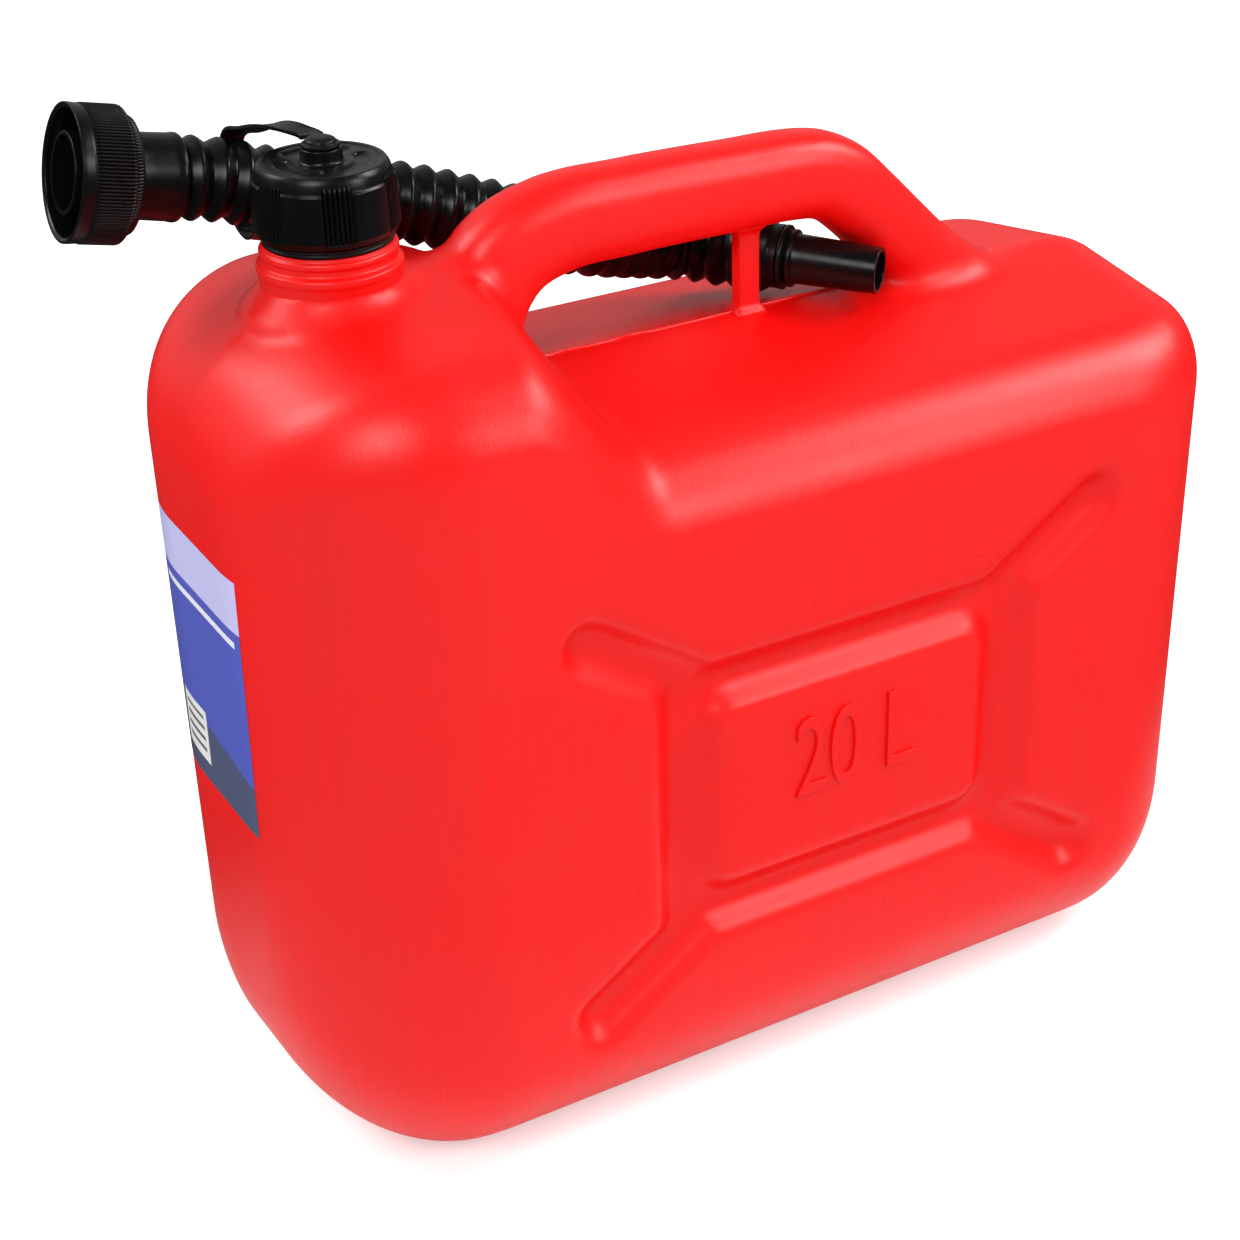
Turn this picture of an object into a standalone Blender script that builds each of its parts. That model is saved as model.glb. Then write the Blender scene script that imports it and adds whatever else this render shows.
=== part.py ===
"""A 20 litre blow-moulded plastic fuel can with a screw cap, a tether and its stored pouring spout.

Metres, +Z up. The origin lies in the middle of the base. The neck stands at the -X end,
the moulding's parting plane is Y = 0, and the spout lies along the +Y side of the neck.
"""

import math

import bmesh
import bpy
from mathutils import Matrix, Vector

# The can's shell: a long box with big round corners, measured at half of the roof's height
CAN_LENGTH = 0.420
CAN_WIDTH = 0.1946
RIDGE_Z = 0.2995
WALL = 0.002
TAPER_share = 0.021
ROOF_SLOPE = math.radians(9)
NECK_END_HALF_FLAT = 0.0218
REAR_END_HALF_FLAT = 0.0368
FLOOR_HALF_WIDTH = 0.0428
PLAN_R_NECK_END = CAN_WIDTH / 2 - NECK_END_HALF_FLAT
PLAN_R_REAR_END = CAN_WIDTH / 2 - REAR_END_HALF_FLAT
FOOT_R_END = 0.064
FOOT_R_SIDE = CAN_WIDTH / 2 - FLOOR_HALF_WIDTH
TOP_R_NECK_END = 0.0645
TOP_R_REAR_END = 0.035
SHOULDER_R = 0.037
FOOT_R_NECK_END = 0.020525
SHOULDER_R_NECK_END = 0.003025
FOOT_DRAW_share = (FOOT_R_SIDE - FOOT_R_NECK_END) / PLAN_R_NECK_END
SHOULDER_DRAW_share = (SHOULDER_R - SHOULDER_R_NECK_END) / PLAN_R_NECK_END
ARC_STEPS = 6
END_STEPS = 8
ROOF_STEPS = 3

# The raised neck end: the same gable, lifted, and a smooth step down to the roof
HUMP_RISE = 0.0480
HUMP_LENGTH = 0.146
HUMP_FOOT_X = HUMP_LENGTH - CAN_LENGTH / 2
HUMP_RUN_MIDDLE = 0.041
HUMP_RUN_SIDE = 0.058
HUMP_STEPS = 7

# Grooves pressed into both broad faces: a frame round a panel, and an arm from each corner
PANEL_X = 0.0125
PANEL_Z = 0.146
FRAME_HALF_X = 0.0890
FRAME_HALF_Z = 0.0620
FRAME_CORNER_R = 0.010
PANEL_HALF_X = 0.0610
PANEL_HALF_Z = 0.0380
PANEL_CORNER_R = 0.006
GROOVE_DEPTH = 0.0088
GROOVE_DRAFT_RUN = 0.0080
ARM_DEPTH = 0.0082
ARM_HALF_WIDTH = 0.0125
ARM_DRAFT_RUN = 0.0074
ARM_TIP_X = 0.1155
ARM_TIP_Z = 0.0815
ARM_ROOT_X = 0.0740
ARM_ROOT_Z = 0.0545
CORNER_STEPS = 3
ARM_END_STEPS = 6
OVERRUN = 0.002

# The hollow carrying handle, on the parting plane, and the thin post below it
HANDLE_RISE = 0.0687
HANDLE_TOP_Z = RIDGE_Z + HANDLE_RISE
HANDLE_DEPTH = 0.035
HANDLE_WIDTH = 0.030
HANDLE_LEAD = 0.036
HANDLE_FRONT_X = HUMP_FOOT_X - HANDLE_LEAD
HANDLE_SETBACK = 0.062
HANDLE_REAR_X = CAN_LENGTH / 2 - HANDLE_SETBACK
HANDLE_WALL = 0.0025
HANDLE_SQUARENESS = 2.6
HANDLE_SIDES = 16
# along the grip and, past the leg's share, down the leg; height; half depth; half width
HANDLE_LEG_share = 0.58
HANDLE_LEG_RUN = 0.10416
HANDLE_PATH_shares = (
    (0.000, -0.077, 1.14, 1.06),
    (0.008, 0.308, 1.14, 1.06),
    (0.032, 0.615, 1.13, 1.05),
    (0.082, 0.870, 1.08, 1.04),
    (0.155, 0.993, 1.05, 1.03),
    (0.280, 1.018, 1.03, 1.02),
    (0.488, 1.008, 1.01, 1.00),
    (0.580, 1.000, 1.00, 1.00),
    (0.630, 0.970, 0.99, 1.00),
    (0.670, 0.885, 0.98, 1.00),
    (0.718, 0.690, 0.95, 1.00),
    (0.770, 0.440, 0.95, 1.01),
    (0.834, 0.119, 0.99, 1.06),
    (0.890, -0.135, 1.08, 1.16),
    (1.000, -0.481, 1.16, 1.26),
)
POST_FROM_REAR = 0.123
POST_X = HANDLE_REAR_X - POST_FROM_REAR
POST_LENGTH = 0.010
POST_THICKNESS = 0.006

# The neck, with two beads under the seat of the tether's ring
NECK_SETBACK = 0.0602
NECK_X = NECK_SETBACK - CAN_LENGTH / 2
NECK_SEAT_RISE = 0.0148
NECK_BASE_R = 0.0272
NECK_FLARE_R = 0.0335
NECK_FOOT_R = 0.0257
NECK_LOW_BEAD_R = 0.0262
NECK_BEAD_R = 0.0248
NECK_VALLEY_R = 0.0240
NECK_SEAT_R = 0.0235
NECK_TUBE_R = 0.0208
NECK_BORE_R = 0.0183
NECK_LIP_CHAMFER = 0.0008
# radius and height above the gable's top, as a share of the ring seat's height
NECK_OUTLINE_shares = (
    (NECK_FLARE_R, -0.55),
    (NECK_BASE_R + (NECK_FLARE_R - NECK_BASE_R) / 2, -0.20),
    (NECK_BASE_R, 0.08),
    (NECK_FOOT_R, 0.30),
    (NECK_LOW_BEAD_R, 0.38),
    (NECK_LOW_BEAD_R, 0.48),
    (NECK_VALLEY_R, 0.60),
    (NECK_VALLEY_R, 0.70),
    (NECK_BEAD_R, 0.78),
    (NECK_BEAD_R, 0.86),
    (NECK_SEAT_R, 0.95),
)
NECK_WIDE_BORE_share = 0.40
NECK_BORE_START_share = 0.85
NECK_SIDES = 40

# Clearances
TOUCH_GAP = 0.0003
THREAD_CLEARANCE = 0.0019
CAP_RING_GAP = 0.0012

# The screw cap
CAP_R = 0.0254
CAP_TOP_R = 0.0238
CAP_RIB_HEIGHT = 0.0008
CAP_RIB_GROUPS = 6
CAP_RIBS_IN_GROUP = 5
CAP_RIB_PITCH = math.radians(5.2)
CAP_FIRST_GROUP = math.radians(-103)
CAP_LOBE_POINTS = 4
CAP_HEIGHT = 0.0248
CAP_PLATE = 0.0022
CAP_EDGE_ROUND = 0.0024
CAP_EDGE_STEPS = 2
CAP_LIP = 0.0013
CAP_RIB_RUNOUT = 0.0021
CAP_BOSS_R = 0.0075
CAP_BOSS_HEIGHT = 0.0046
CAP_BOSS_GROOVE = 0.0006
CAP_BOSS_GROOVE_share = 0.55
CAP_PIN_R = 0.0024
CAP_PIN_HEIGHT = 0.0018
CAP_POCKETS = 3
CAP_POCKET_INNER_R = 0.0112
CAP_POCKET_OUTER_R = 0.0172
CAP_POCKET_DEPTH = 0.0009
CAP_POCKET_HALF_ANGLE = math.radians(36)
CAP_POCKET_STEPS = 5
SEAL_THICKNESS = 0.0014
SEAL_R = 0.0219
ROUND_SIDES = 36

# The tether: a ring on the neck, a strap round the stored spout and a button on the cap
RING_R = 0.0235
RING_THICKNESS = 0.0024
RING_NECK_CLEARANCE = 0.0006
BUTTON_R = 0.0068
BUTTON_BRIM = 0.0012
BUTTON_HEIGHT = 0.0034
BUTTON_DOME_R = 0.0061
BUTTON_STEPS = 3
STRAP_WIDTH = 0.0088
STRAP_THICKNESS = 0.0016
STRAP_STEPS = 44
STRAP_START_RISE = 0.0010
STRAP_TOP_CLEARANCE = 0.0058
STRAP_SIDE_CLEARANCE = 0.0020
STRAP_UNDER_CLEARANCE = 0.0040
STRAP_SWEEP = 0.0070
STRAP_RING_ANGLE = math.radians(131)
STRAP_TURN_share = 0.74
# points of the loop round the hose: up and away from the neck, as shares of its reach
STRAP_LOOP_shares = ((1, -0.25), (0.7, 0.7), (0, 1), (-0.7, 0.7), (-1, 0), (-0.7, -0.7))
PATH_STEPS = 16

# The pouring spout: a nut, a turned collar, a ribbed hose and a nozzle
SPOUT_YAW = math.radians(-2.6)
SPOUT_DIP = math.radians(11.8)
NUT_AHEAD = 0.0747
NUT_SWING = 0.0050
NUT_LIFT = 0.0372
NUT_R = 0.0243
NUT_KNURL_HEIGHT = 0.0007
NUT_KNURLS = 48
NUT_DRUM_LENGTH = 0.0196
NUT_RIM_LENGTH = 0.0028
NUT_STEP_R = 0.0215
NUT_STEP_LENGTH = 0.0040
NUT_STEP_ROUND = 0.0018
NUT_PLATE = 0.0024
NUT_HOLE_CLEARANCE = 0.0004
NUT_ENTRY_CHAMFER = 0.0010
SLEEVE_R = 0.0147
SLEEVE_WALL = 0.0014
SLEEVE_SETBACK = 0.0004
FLANGE_R = 0.0192
FLANGE_THICKNESS = 0.0022
COLLAR_LENGTH = 0.0188
COLLAR_R = 0.0160
COLLAR_NECKING = 0.0010
SPOUT_SEAL_R = 0.0190
SPOUT_SEAL_CLEARANCE = 0.0004
HOSE_R = 0.0155
HOSE_VALLEY_R = 0.0128
HOSE_BORE_R = 0.0110
HOSE_RIB_PITCH = 0.0090
HOSE_CUFF = 0.0035
HOSE_BEVEL_RESOLUTION = 2
BORE_STEP = 0.0090
CAP_SIDE_CLEARANCE = 0.0088
CAP_SIDE_LIFT = 0.0040
HUMP_EDGE_BACK = 0.0360
HUMP_EDGE_X = HUMP_FOOT_X - HUMP_EDGE_BACK
HUMP_EDGE_INWARD = 0.0028
MIDWAY_share = 0.3820225
MIDWAY_X = HUMP_FOOT_X + (POST_X - HUMP_FOOT_X) * MIDWAY_share
MIDWAY_INWARD = 0.0155
MIDWAY_CLEARANCE = 0.0205
NOZZLE_YAW = math.radians(-50.7)
NOZZLE_DIP = math.radians(2.5)
POST_CLEARANCE = 0.0018
NOZZLE_ADVANCE = 0.0071
HOSE_END_STRAIGHT = 0.0310
HOSE_TURN_LEAD = 0.0040
NOZZLE_SPIGOT_R = 0.0093
NOZZLE_SPIGOT_LENGTH = 0.0080
NOZZLE_RINGS = 2
NOZZLE_RING_R = 0.0130
NOZZLE_RING_FALL = 0.0014
NOZZLE_RING_LENGTH = 0.0024
NOZZLE_RING_GAP = 0.0010
NOZZLE_ROOT_R = 0.0100
NOZZLE_TIP_R = 0.0093
NOZZLE_LENGTH = 0.0405
NOZZLE_WALL = 0.0016
NOZZLE_TIP_CHAMFER = 0.0005

# Heights and places that follow from the sizes above
HUMP_TOP_Z = RIDGE_Z + HUMP_RISE
RING_SEAT_Z = HUMP_TOP_Z + NECK_SEAT_RISE
RING_BASE_Z = RING_SEAT_Z + TOUCH_GAP
CAP_BASE_Z = RING_BASE_Z + RING_THICKNESS + CAP_RING_GAP
CAP_TOP_Z = CAP_BASE_Z + CAP_HEIGHT
CAP_ROOM_Z = CAP_TOP_Z - CAP_PLATE
SEAL_BASE_Z = CAP_ROOM_Z - TOUCH_GAP - SEAL_THICKNESS
NECK_TOP_Z = SEAL_BASE_Z - TOUCH_GAP
CAP_ROOM_R = NECK_TUBE_R + THREAD_CLEARANCE
BOSS_TOP_Z = CAP_TOP_Z + CAP_BOSS_HEIGHT
BUTTON_BASE_Z = BOSS_TOP_Z + TOUCH_GAP
HANDLE_MIDDLE_Z = HANDLE_TOP_Z - HANDLE_DEPTH / 2
BESIDE_CAP_Y = CAP_R + CAP_RIB_HEIGHT + CAP_SIDE_CLEARANCE + HOSE_R
NUT_LENGTH = NUT_DRUM_LENGTH + NUT_STEP_LENGTH

# Edges sharper than this stay sharp when shaded; points closer than this are one
CREASE_ANGLE = math.radians(34)
WELD_DISTANCE = TOUCH_GAP / 100


def clear_scene():
    """Start from an empty scene."""
    for item in list(bpy.data.objects):
        bpy.data.objects.remove(item, do_unlink=True)


def plastic(name, colour, roughness):
    """A moulded plastic in one colour."""
    material = bpy.data.materials.new(name)
    material.use_nodes = True
    shader = material.node_tree.nodes["Principled BSDF"]
    shader.inputs["Base Color"].default_value = (*colour, 1)
    shader.inputs["Roughness"].default_value = roughness
    shader.inputs["Metallic"].default_value = 0
    return material


def finish_object(name, mesh_builder, material):
    """Turn a bmesh into a smooth shaded object with its faces pointing out."""
    bmesh.ops.recalc_face_normals(mesh_builder, faces=mesh_builder.faces)
    mesh = bpy.data.meshes.new(name)
    mesh_builder.to_mesh(mesh)
    mesh_builder.free()
    mesh.shade_smooth()
    mesh.set_sharp_from_angle(angle=CREASE_ANGLE)
    if material is not None:
        mesh.materials.append(material)
    item = bpy.data.objects.new(name, mesh)
    bpy.context.scene.collection.objects.link(item)
    return item


def as_tool(item):
    """Mark an object as a cutter or a blank that only shapes another one."""
    item.hide_render = True
    item.display_type = "WIRE"
    return item


def combine(target, tool, operation, solver="EXACT"):
    """Add a Boolean of one object with another."""
    modifier = target.modifiers.new(f"{operation.lower()} {tool.name}", "BOOLEAN")
    modifier.operation = operation
    modifier.solver = solver
    modifier.object = as_tool(tool)


def loft(name, rings, material=None, closed_path=False):
    """A skin over rings of as many points each, with flat ends or joined end to end."""
    builder = bmesh.new()
    rows = [[builder.verts.new(point) for point in ring] for ring in rings]
    count = len(rows[0])
    pairs = list(zip(rows, rows[1:]))
    if closed_path:
        pairs.append((rows[-1], rows[0]))
    for first, second in pairs:
        for index in range(count):
            following = (index + 1) % count
            builder.faces.new((first[index], first[following], second[following], second[index]))
    if not closed_path:
        builder.faces.new(rows[0])
        builder.faces.new(reversed(rows[-1]))
    return finish_object(name, builder, material)


def turned(name, profile, material=None, sides=ROUND_SIDES):
    """A profile of radius and height, spun round Z; a closed profile gives a ring."""
    closed = profile[0][0] > 0
    builder = bmesh.new()
    points = [builder.verts.new((radius, 0, height)) for radius, height in profile]
    edges = [builder.edges.new(pair) for pair in zip(points, points[1:])]
    if closed:
        edges.append(builder.edges.new((points[-1], points[0])))
    bmesh.ops.spin(builder, geom=points + edges, cent=(0, 0, 0), axis=(0, 0, 1),
                   angle=math.tau, steps=sides, use_merge=True)
    bmesh.ops.remove_doubles(builder, verts=builder.verts, dist=WELD_DISTANCE)
    return finish_object(name, builder, material)


def place_along(item, origin, direction):
    """Stand a piece that was turned round Z on an axis in the can's frame."""
    turn = Vector(direction).to_track_quat("Z", "Y").to_matrix().to_4x4()
    item.matrix_world = Matrix.Translation(origin) @ turn


def corner_draw(distance, radius):
    """How far a quarter-round corner has drawn in at a distance from the flat end."""
    if distance >= radius:
        return 0
    reach = radius - max(distance, 0)
    return radius - math.sqrt(radius ** 2 - reach ** 2)


def tapered(x, y, z):
    """The shell opens towards its top: plan sizes grow with the height."""
    scale = 1 + TAPER_share * (z / RIDGE_Z - 1 / 2)
    return x * scale, y * scale, z


def hump_rise(x, y):
    """Height of the neck end above the roof: a smooth step, longer at the sides."""
    across = min(abs(y) / (CAN_WIDTH / 2), 1)
    run = HUMP_RUN_MIDDLE + (HUMP_RUN_SIDE - HUMP_RUN_MIDDLE) * across ** 2
    part = min(max((HUMP_FOOT_X - x) / run, 0), 1)
    return HUMP_RISE * part * part * (3 - 2 * part)


def roof_height(x, y):
    """Height of the can's upper surface away from its round ends."""
    return RIDGE_Z + hump_rise(x, y) - abs(y) * math.tan(ROOF_SLOPE)


def shell_ring(x, wall):
    """One cross-section of the shell, or of its hollow when a wall is taken off."""
    front = x + CAN_LENGTH / 2 - wall
    rear = CAN_LENGTH / 2 - wall - x
    side_draw = corner_draw(front, PLAN_R_NECK_END - wall) + corner_draw(rear, PLAN_R_REAR_END - wall)
    half = CAN_WIDTH / 2 - wall - side_draw
    foot = wall + corner_draw(front, FOOT_R_END - wall) + corner_draw(rear, FOOT_R_END - wall)
    drop = corner_draw(front, TOP_R_NECK_END - wall) + corner_draw(rear, TOP_R_REAR_END - wall)
    ridge = RIDGE_Z - wall - drop
    foot_r = FOOT_R_SIDE - wall - side_draw * FOOT_DRAW_share
    shoulder_r = SHOULDER_R - wall - side_draw * SHOULDER_DRAW_share

    outline = []
    for step in range(ARC_STEPS + 1):
        angle = math.pi / 2 * step / ARC_STEPS
        width = half - foot_r + foot_r * math.sin(angle)
        height = foot + foot_r - foot_r * math.cos(angle)
        outline.append((width, height, 0))
    centre_y = half - shoulder_r
    centre_z = ridge - centre_y * math.tan(ROOF_SLOPE) - shoulder_r / math.cos(ROOF_SLOPE)
    for step in range(ARC_STEPS + 1):
        angle = (math.pi / 2 - ROOF_SLOPE) * step / ARC_STEPS
        width = centre_y + shoulder_r * math.cos(angle)
        height = centre_z + shoulder_r * math.sin(angle)
        outline.append((width, height, 1))
    last_y = outline[-1][0]
    for step in range(1, ROOF_STEPS):
        y = last_y * (1 - step / ROOF_STEPS)
        outline.append((y, ridge - y * math.tan(ROOF_SLOPE), 1))

    half_ring = [(y, z + lifted * hump_rise(x, y)) for y, z, lifted in outline]
    ring = [(0, foot)] + half_ring + [(0, ridge + hump_rise(x, 0))]
    ring += [(-y, z) for y, z in reversed(half_ring)]
    return [tapered(x, y, z) for y, z in ring]


def shell_stations(wall):
    """Places of the cross-sections: close together on the round ends and on the step."""
    half = CAN_LENGTH / 2 - wall
    neck_end = [PLAN_R_NECK_END * (1 - math.cos(math.pi / 2 * step / END_STEPS)) - half
                for step in range(END_STEPS + 1)]
    rear_end = [half - PLAN_R_REAR_END * (1 - math.cos(math.pi / 2 * step / END_STEPS))
                for step in range(END_STEPS + 1)]
    step_down = [HUMP_FOOT_X - HUMP_RUN_SIDE * step / HUMP_STEPS for step in range(HUMP_STEPS)]
    inner = [x for x in step_down if x > neck_end[-1]]
    return sorted(neck_end + inner + rear_end)


def shell(name, wall, material=None):
    """The closed skin of the can without its neck and handle."""
    return loft(name, [shell_ring(x, wall) for x in shell_stations(wall)], material)


def rounded_rectangle(half_x, half_z, corner):
    """Outline of a rectangle with round corners, round the panel's middle."""
    points = []
    for quarter, (side_x, side_z) in enumerate(((1, 1), (-1, 1), (-1, -1), (1, -1))):
        for step in range(CORNER_STEPS + 1):
            angle = math.pi / 2 * (quarter + step / CORNER_STEPS)
            points.append((side_x * (half_x - corner) + corner * math.cos(angle),
                           side_z * (half_z - corner) + corner * math.sin(angle)))
    return points


def on_face(outline, depth, side):
    """Put an outline at a depth below one of the broad faces."""
    return [tapered(PANEL_X + x, side * (CAN_WIDTH / 2 - depth), PANEL_Z + z) for x, z in outline]


def frame_cutter(name, side, grow):
    """The rectangular groove: a closed channel with sloping walls."""
    above = -OVERRUN
    floor = GROOVE_DEPTH + grow
    slope = GROOVE_DRAFT_RUN / GROOVE_DEPTH
    rings = []
    for depth in (above, floor):
        inset = slope * (depth - grow) - grow
        rings.append(on_face(rounded_rectangle(FRAME_HALF_X - inset, FRAME_HALF_Z - inset,
                                               FRAME_CORNER_R), depth, side))
    for depth in (floor, above):
        outset = slope * (depth - grow) - grow
        rings.append(on_face(rounded_rectangle(PANEL_HALF_X + outset, PANEL_HALF_Z + outset,
                                               PANEL_CORNER_R), depth, side))
    return loft(name, rings, closed_path=True)


def arm_outline(side_x, side_z, radius):
    """A slot with round ends from the frame's corner towards the can's corner."""
    root = Vector((side_x * ARM_ROOT_X, side_z * ARM_ROOT_Z))
    tip = Vector((side_x * ARM_TIP_X, side_z * ARM_TIP_Z))
    heading = math.atan2(tip.y - root.y, tip.x - root.x)
    points = []
    for centre, start in ((tip, heading - math.pi / 2), (root, heading + math.pi / 2)):
        for step in range(ARM_END_STEPS + 1):
            angle = start + math.pi * step / ARM_END_STEPS
            points.append((centre.x + radius * math.cos(angle), centre.y + radius * math.sin(angle)))
    return points


def arm_cutter(name, side, side_x, side_z, grow):
    """One diagonal arm with a round end and sloping walls."""
    slope = ARM_DRAFT_RUN / ARM_DEPTH
    rings = []
    for depth in (-OVERRUN, ARM_DEPTH + grow):
        radius = ARM_HALF_WIDTH + grow - slope * (depth - grow)
        rings.append(on_face(arm_outline(side_x, side_z, radius), depth, side))
    return loft(name, rings)


def cut_grooves(target, grow, label):
    """Press the grooves of both broad faces into a solid."""
    for side, face in ((-1, "front"), (1, "back")):
        combine(target, frame_cutter(f"{label}_{face}_frame", side, grow), "DIFFERENCE")
        for number, (side_x, side_z) in enumerate(((1, 1), (-1, 1), (-1, -1), (1, -1))):
            arm = arm_cutter(f"{label}_{face}_arm_{number}", side, side_x, side_z, grow)
            combine(target, arm, "DIFFERENCE")


def handle_tube(name, wall):
    """The bent grip: rounded-square rings square to a path in the parting plane."""
    grip_run = HANDLE_REAR_X - HANDLE_FRONT_X - HANDLE_LEG_RUN
    rise = HANDLE_MIDDLE_Z - RIDGE_Z
    path = [Vector((HANDLE_FRONT_X + grip_run * min(along / HANDLE_LEG_share, 1)
                    + HANDLE_LEG_RUN * max(along - HANDLE_LEG_share, 0) / (1 - HANDLE_LEG_share),
                    0, RIDGE_Z + up * rise))
            for along, up, deep, wide in HANDLE_PATH_shares]
    power = 2 / HANDLE_SQUARENESS
    rings = []
    for index, (along, up, deep, wide) in enumerate(HANDLE_PATH_shares):
        before = path[max(index - 1, 0)]
        after = path[min(index + 1, len(path) - 1)]
        heading = (after - before).normalized()
        outward = Vector((-heading.z, 0, heading.x))
        half_depth = deep * HANDLE_DEPTH / 2 - wall
        half_width = wide * HANDLE_WIDTH / 2 - wall
        ring = []
        for side in range(HANDLE_SIDES):
            angle = math.tau * side / HANDLE_SIDES
            up_part = math.copysign(abs(math.cos(angle)) ** power, math.cos(angle))
            side_part = math.copysign(abs(math.sin(angle)) ** power, math.sin(angle))
            offset = outward * (half_depth * up_part) + Vector((0, half_width * side_part, 0))
            ring.append(path[index] + offset)
        rings.append(ring)
    return loft(name, rings)


def post_block(name):
    """The thin post that ties the grip's underside to the roof's ridge."""
    half_x = POST_LENGTH / 2
    half_y = POST_THICKNESS / 2
    corners = ((half_x, half_y), (-half_x, half_y), (-half_x, -half_y), (half_x, -half_y))
    heights = (RIDGE_Z - WALL / 2 - half_y * math.tan(ROOF_SLOPE),
               HANDLE_MIDDLE_Z - HANDLE_DEPTH / 2 + HANDLE_WALL / 2)
    rings = [[(POST_X + x, y, z) for x, y in corners] for z in heights]
    return loft(name, rings)


def neck_root_height():
    """Height inside the hollow at which the neck's blank and its bore start."""
    return HUMP_TOP_Z - NECK_FLARE_R * math.tan(ROOF_SLOPE) - SHOULDER_R / 2


def neck_outside(name):
    """The neck: a flare out of the shell, two beads, the ring's seat and the thread's tube."""
    root_z = neck_root_height()
    profile = [(0, root_z), (NECK_FLARE_R, root_z)]
    for radius, share in NECK_OUTLINE_shares:
        profile.append((radius, HUMP_TOP_Z + NECK_SEAT_RISE * share))
    profile += [
        (NECK_SEAT_R - NECK_LIP_CHAMFER, RING_SEAT_Z),
        (NECK_TUBE_R, RING_SEAT_Z),
        (NECK_TUBE_R, NECK_TOP_Z - NECK_LIP_CHAMFER),
        (NECK_TUBE_R - NECK_LIP_CHAMFER, NECK_TOP_Z),
        (0, NECK_TOP_Z),
    ]
    neck = turned(name, profile, sides=NECK_SIDES)
    neck.location = (NECK_X, 0, 0)
    return neck


def neck_inside(name):
    """The neck's bore, wider below the ring's seat, where the moulding has an even wall."""
    wide_r = NECK_VALLEY_R - WALL
    root_z = neck_root_height()
    profile = [
        (0, root_z),
        (wide_r, root_z),
        (wide_r, HUMP_TOP_Z + NECK_SEAT_RISE * NECK_WIDE_BORE_share),
        (NECK_BORE_R, HUMP_TOP_Z + NECK_SEAT_RISE * NECK_BORE_START_share),
        (NECK_BORE_R, NECK_TOP_Z + OVERRUN),
        (0, NECK_TOP_Z + OVERRUN),
    ]
    bore = turned(name, profile, sides=NECK_SIDES)
    bore.location = (NECK_X, 0, 0)
    return bore


def make_can_body(material):
    """The one-piece hollow moulding: shell, neck, handle and post."""
    body = shell("can_body", 0, material)
    combine(body, neck_outside("neck_blank"), "UNION")
    combine(body, handle_tube("handle_blank", 0), "UNION")
    combine(body, post_block("post_blank"), "UNION")
    cut_grooves(body, 0, "groove")

    hollow = shell("hollow", WALL)
    combine(hollow, neck_inside("neck_bore"), "UNION")
    combine(hollow, handle_tube("handle_bore", HANDLE_WALL), "UNION")
    cut_grooves(hollow, WALL, "rib")
    combine(body, hollow, "DIFFERENCE")
    return body


def cap_outline():
    """Angles round the cap and whether each point is on a grip rib's crest."""
    points = []
    group_turn = math.tau / CAP_RIB_GROUPS
    group_width = CAP_RIB_PITCH * CAP_RIBS_IN_GROUP
    for group in range(CAP_RIB_GROUPS):
        start = CAP_FIRST_GROUP + group * group_turn - group_width / 2
        for half_pitch in range(2 * CAP_RIBS_IN_GROUP + 1):
            points.append((start + CAP_RIB_PITCH * half_pitch / 2, half_pitch % 2))
        lobe = group_turn - group_width
        for step in range(1, CAP_LOBE_POINTS):
            points.append((start + group_width + lobe * step / CAP_LOBE_POINTS, 1 / 2))
    return points


def cap_ring(radius, height, ribbed):
    """One ring of the cap's skirt, plain or with the grip ribs."""
    ring = []
    for angle, crest in cap_outline():
        reach = radius + ribbed * CAP_RIB_HEIGHT * crest
        ring.append((NECK_X + reach * math.cos(angle), reach * math.sin(angle), height))
    return ring


def pocket_cutter(name, middle):
    """A kidney-shaped pocket in the cap's top."""
    mean_r = (CAP_POCKET_INNER_R + CAP_POCKET_OUTER_R) / 2
    end_r = (CAP_POCKET_OUTER_R - CAP_POCKET_INNER_R) / 2
    outline = []
    for step in range(CAP_POCKET_STEPS + 1):
        angle = middle + CAP_POCKET_HALF_ANGLE * (2 * step / CAP_POCKET_STEPS - 1)
        outline.append((CAP_POCKET_OUTER_R * math.cos(angle), CAP_POCKET_OUTER_R * math.sin(angle)))
    tip = middle + CAP_POCKET_HALF_ANGLE + end_r / mean_r
    outline.append((mean_r * math.cos(tip), mean_r * math.sin(tip)))
    for step in range(CAP_POCKET_STEPS + 1):
        angle = middle - CAP_POCKET_HALF_ANGLE * (2 * step / CAP_POCKET_STEPS - 1)
        outline.append((CAP_POCKET_INNER_R * math.cos(angle), CAP_POCKET_INNER_R * math.sin(angle)))
    tip = middle - CAP_POCKET_HALF_ANGLE - end_r / mean_r
    outline.append((mean_r * math.cos(tip), mean_r * math.sin(tip)))
    heights = (CAP_TOP_Z - CAP_POCKET_DEPTH, CAP_TOP_Z + OVERRUN)
    return loft(name, [[(NECK_X + x, y, z) for x, y in outline] for z in heights])


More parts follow.
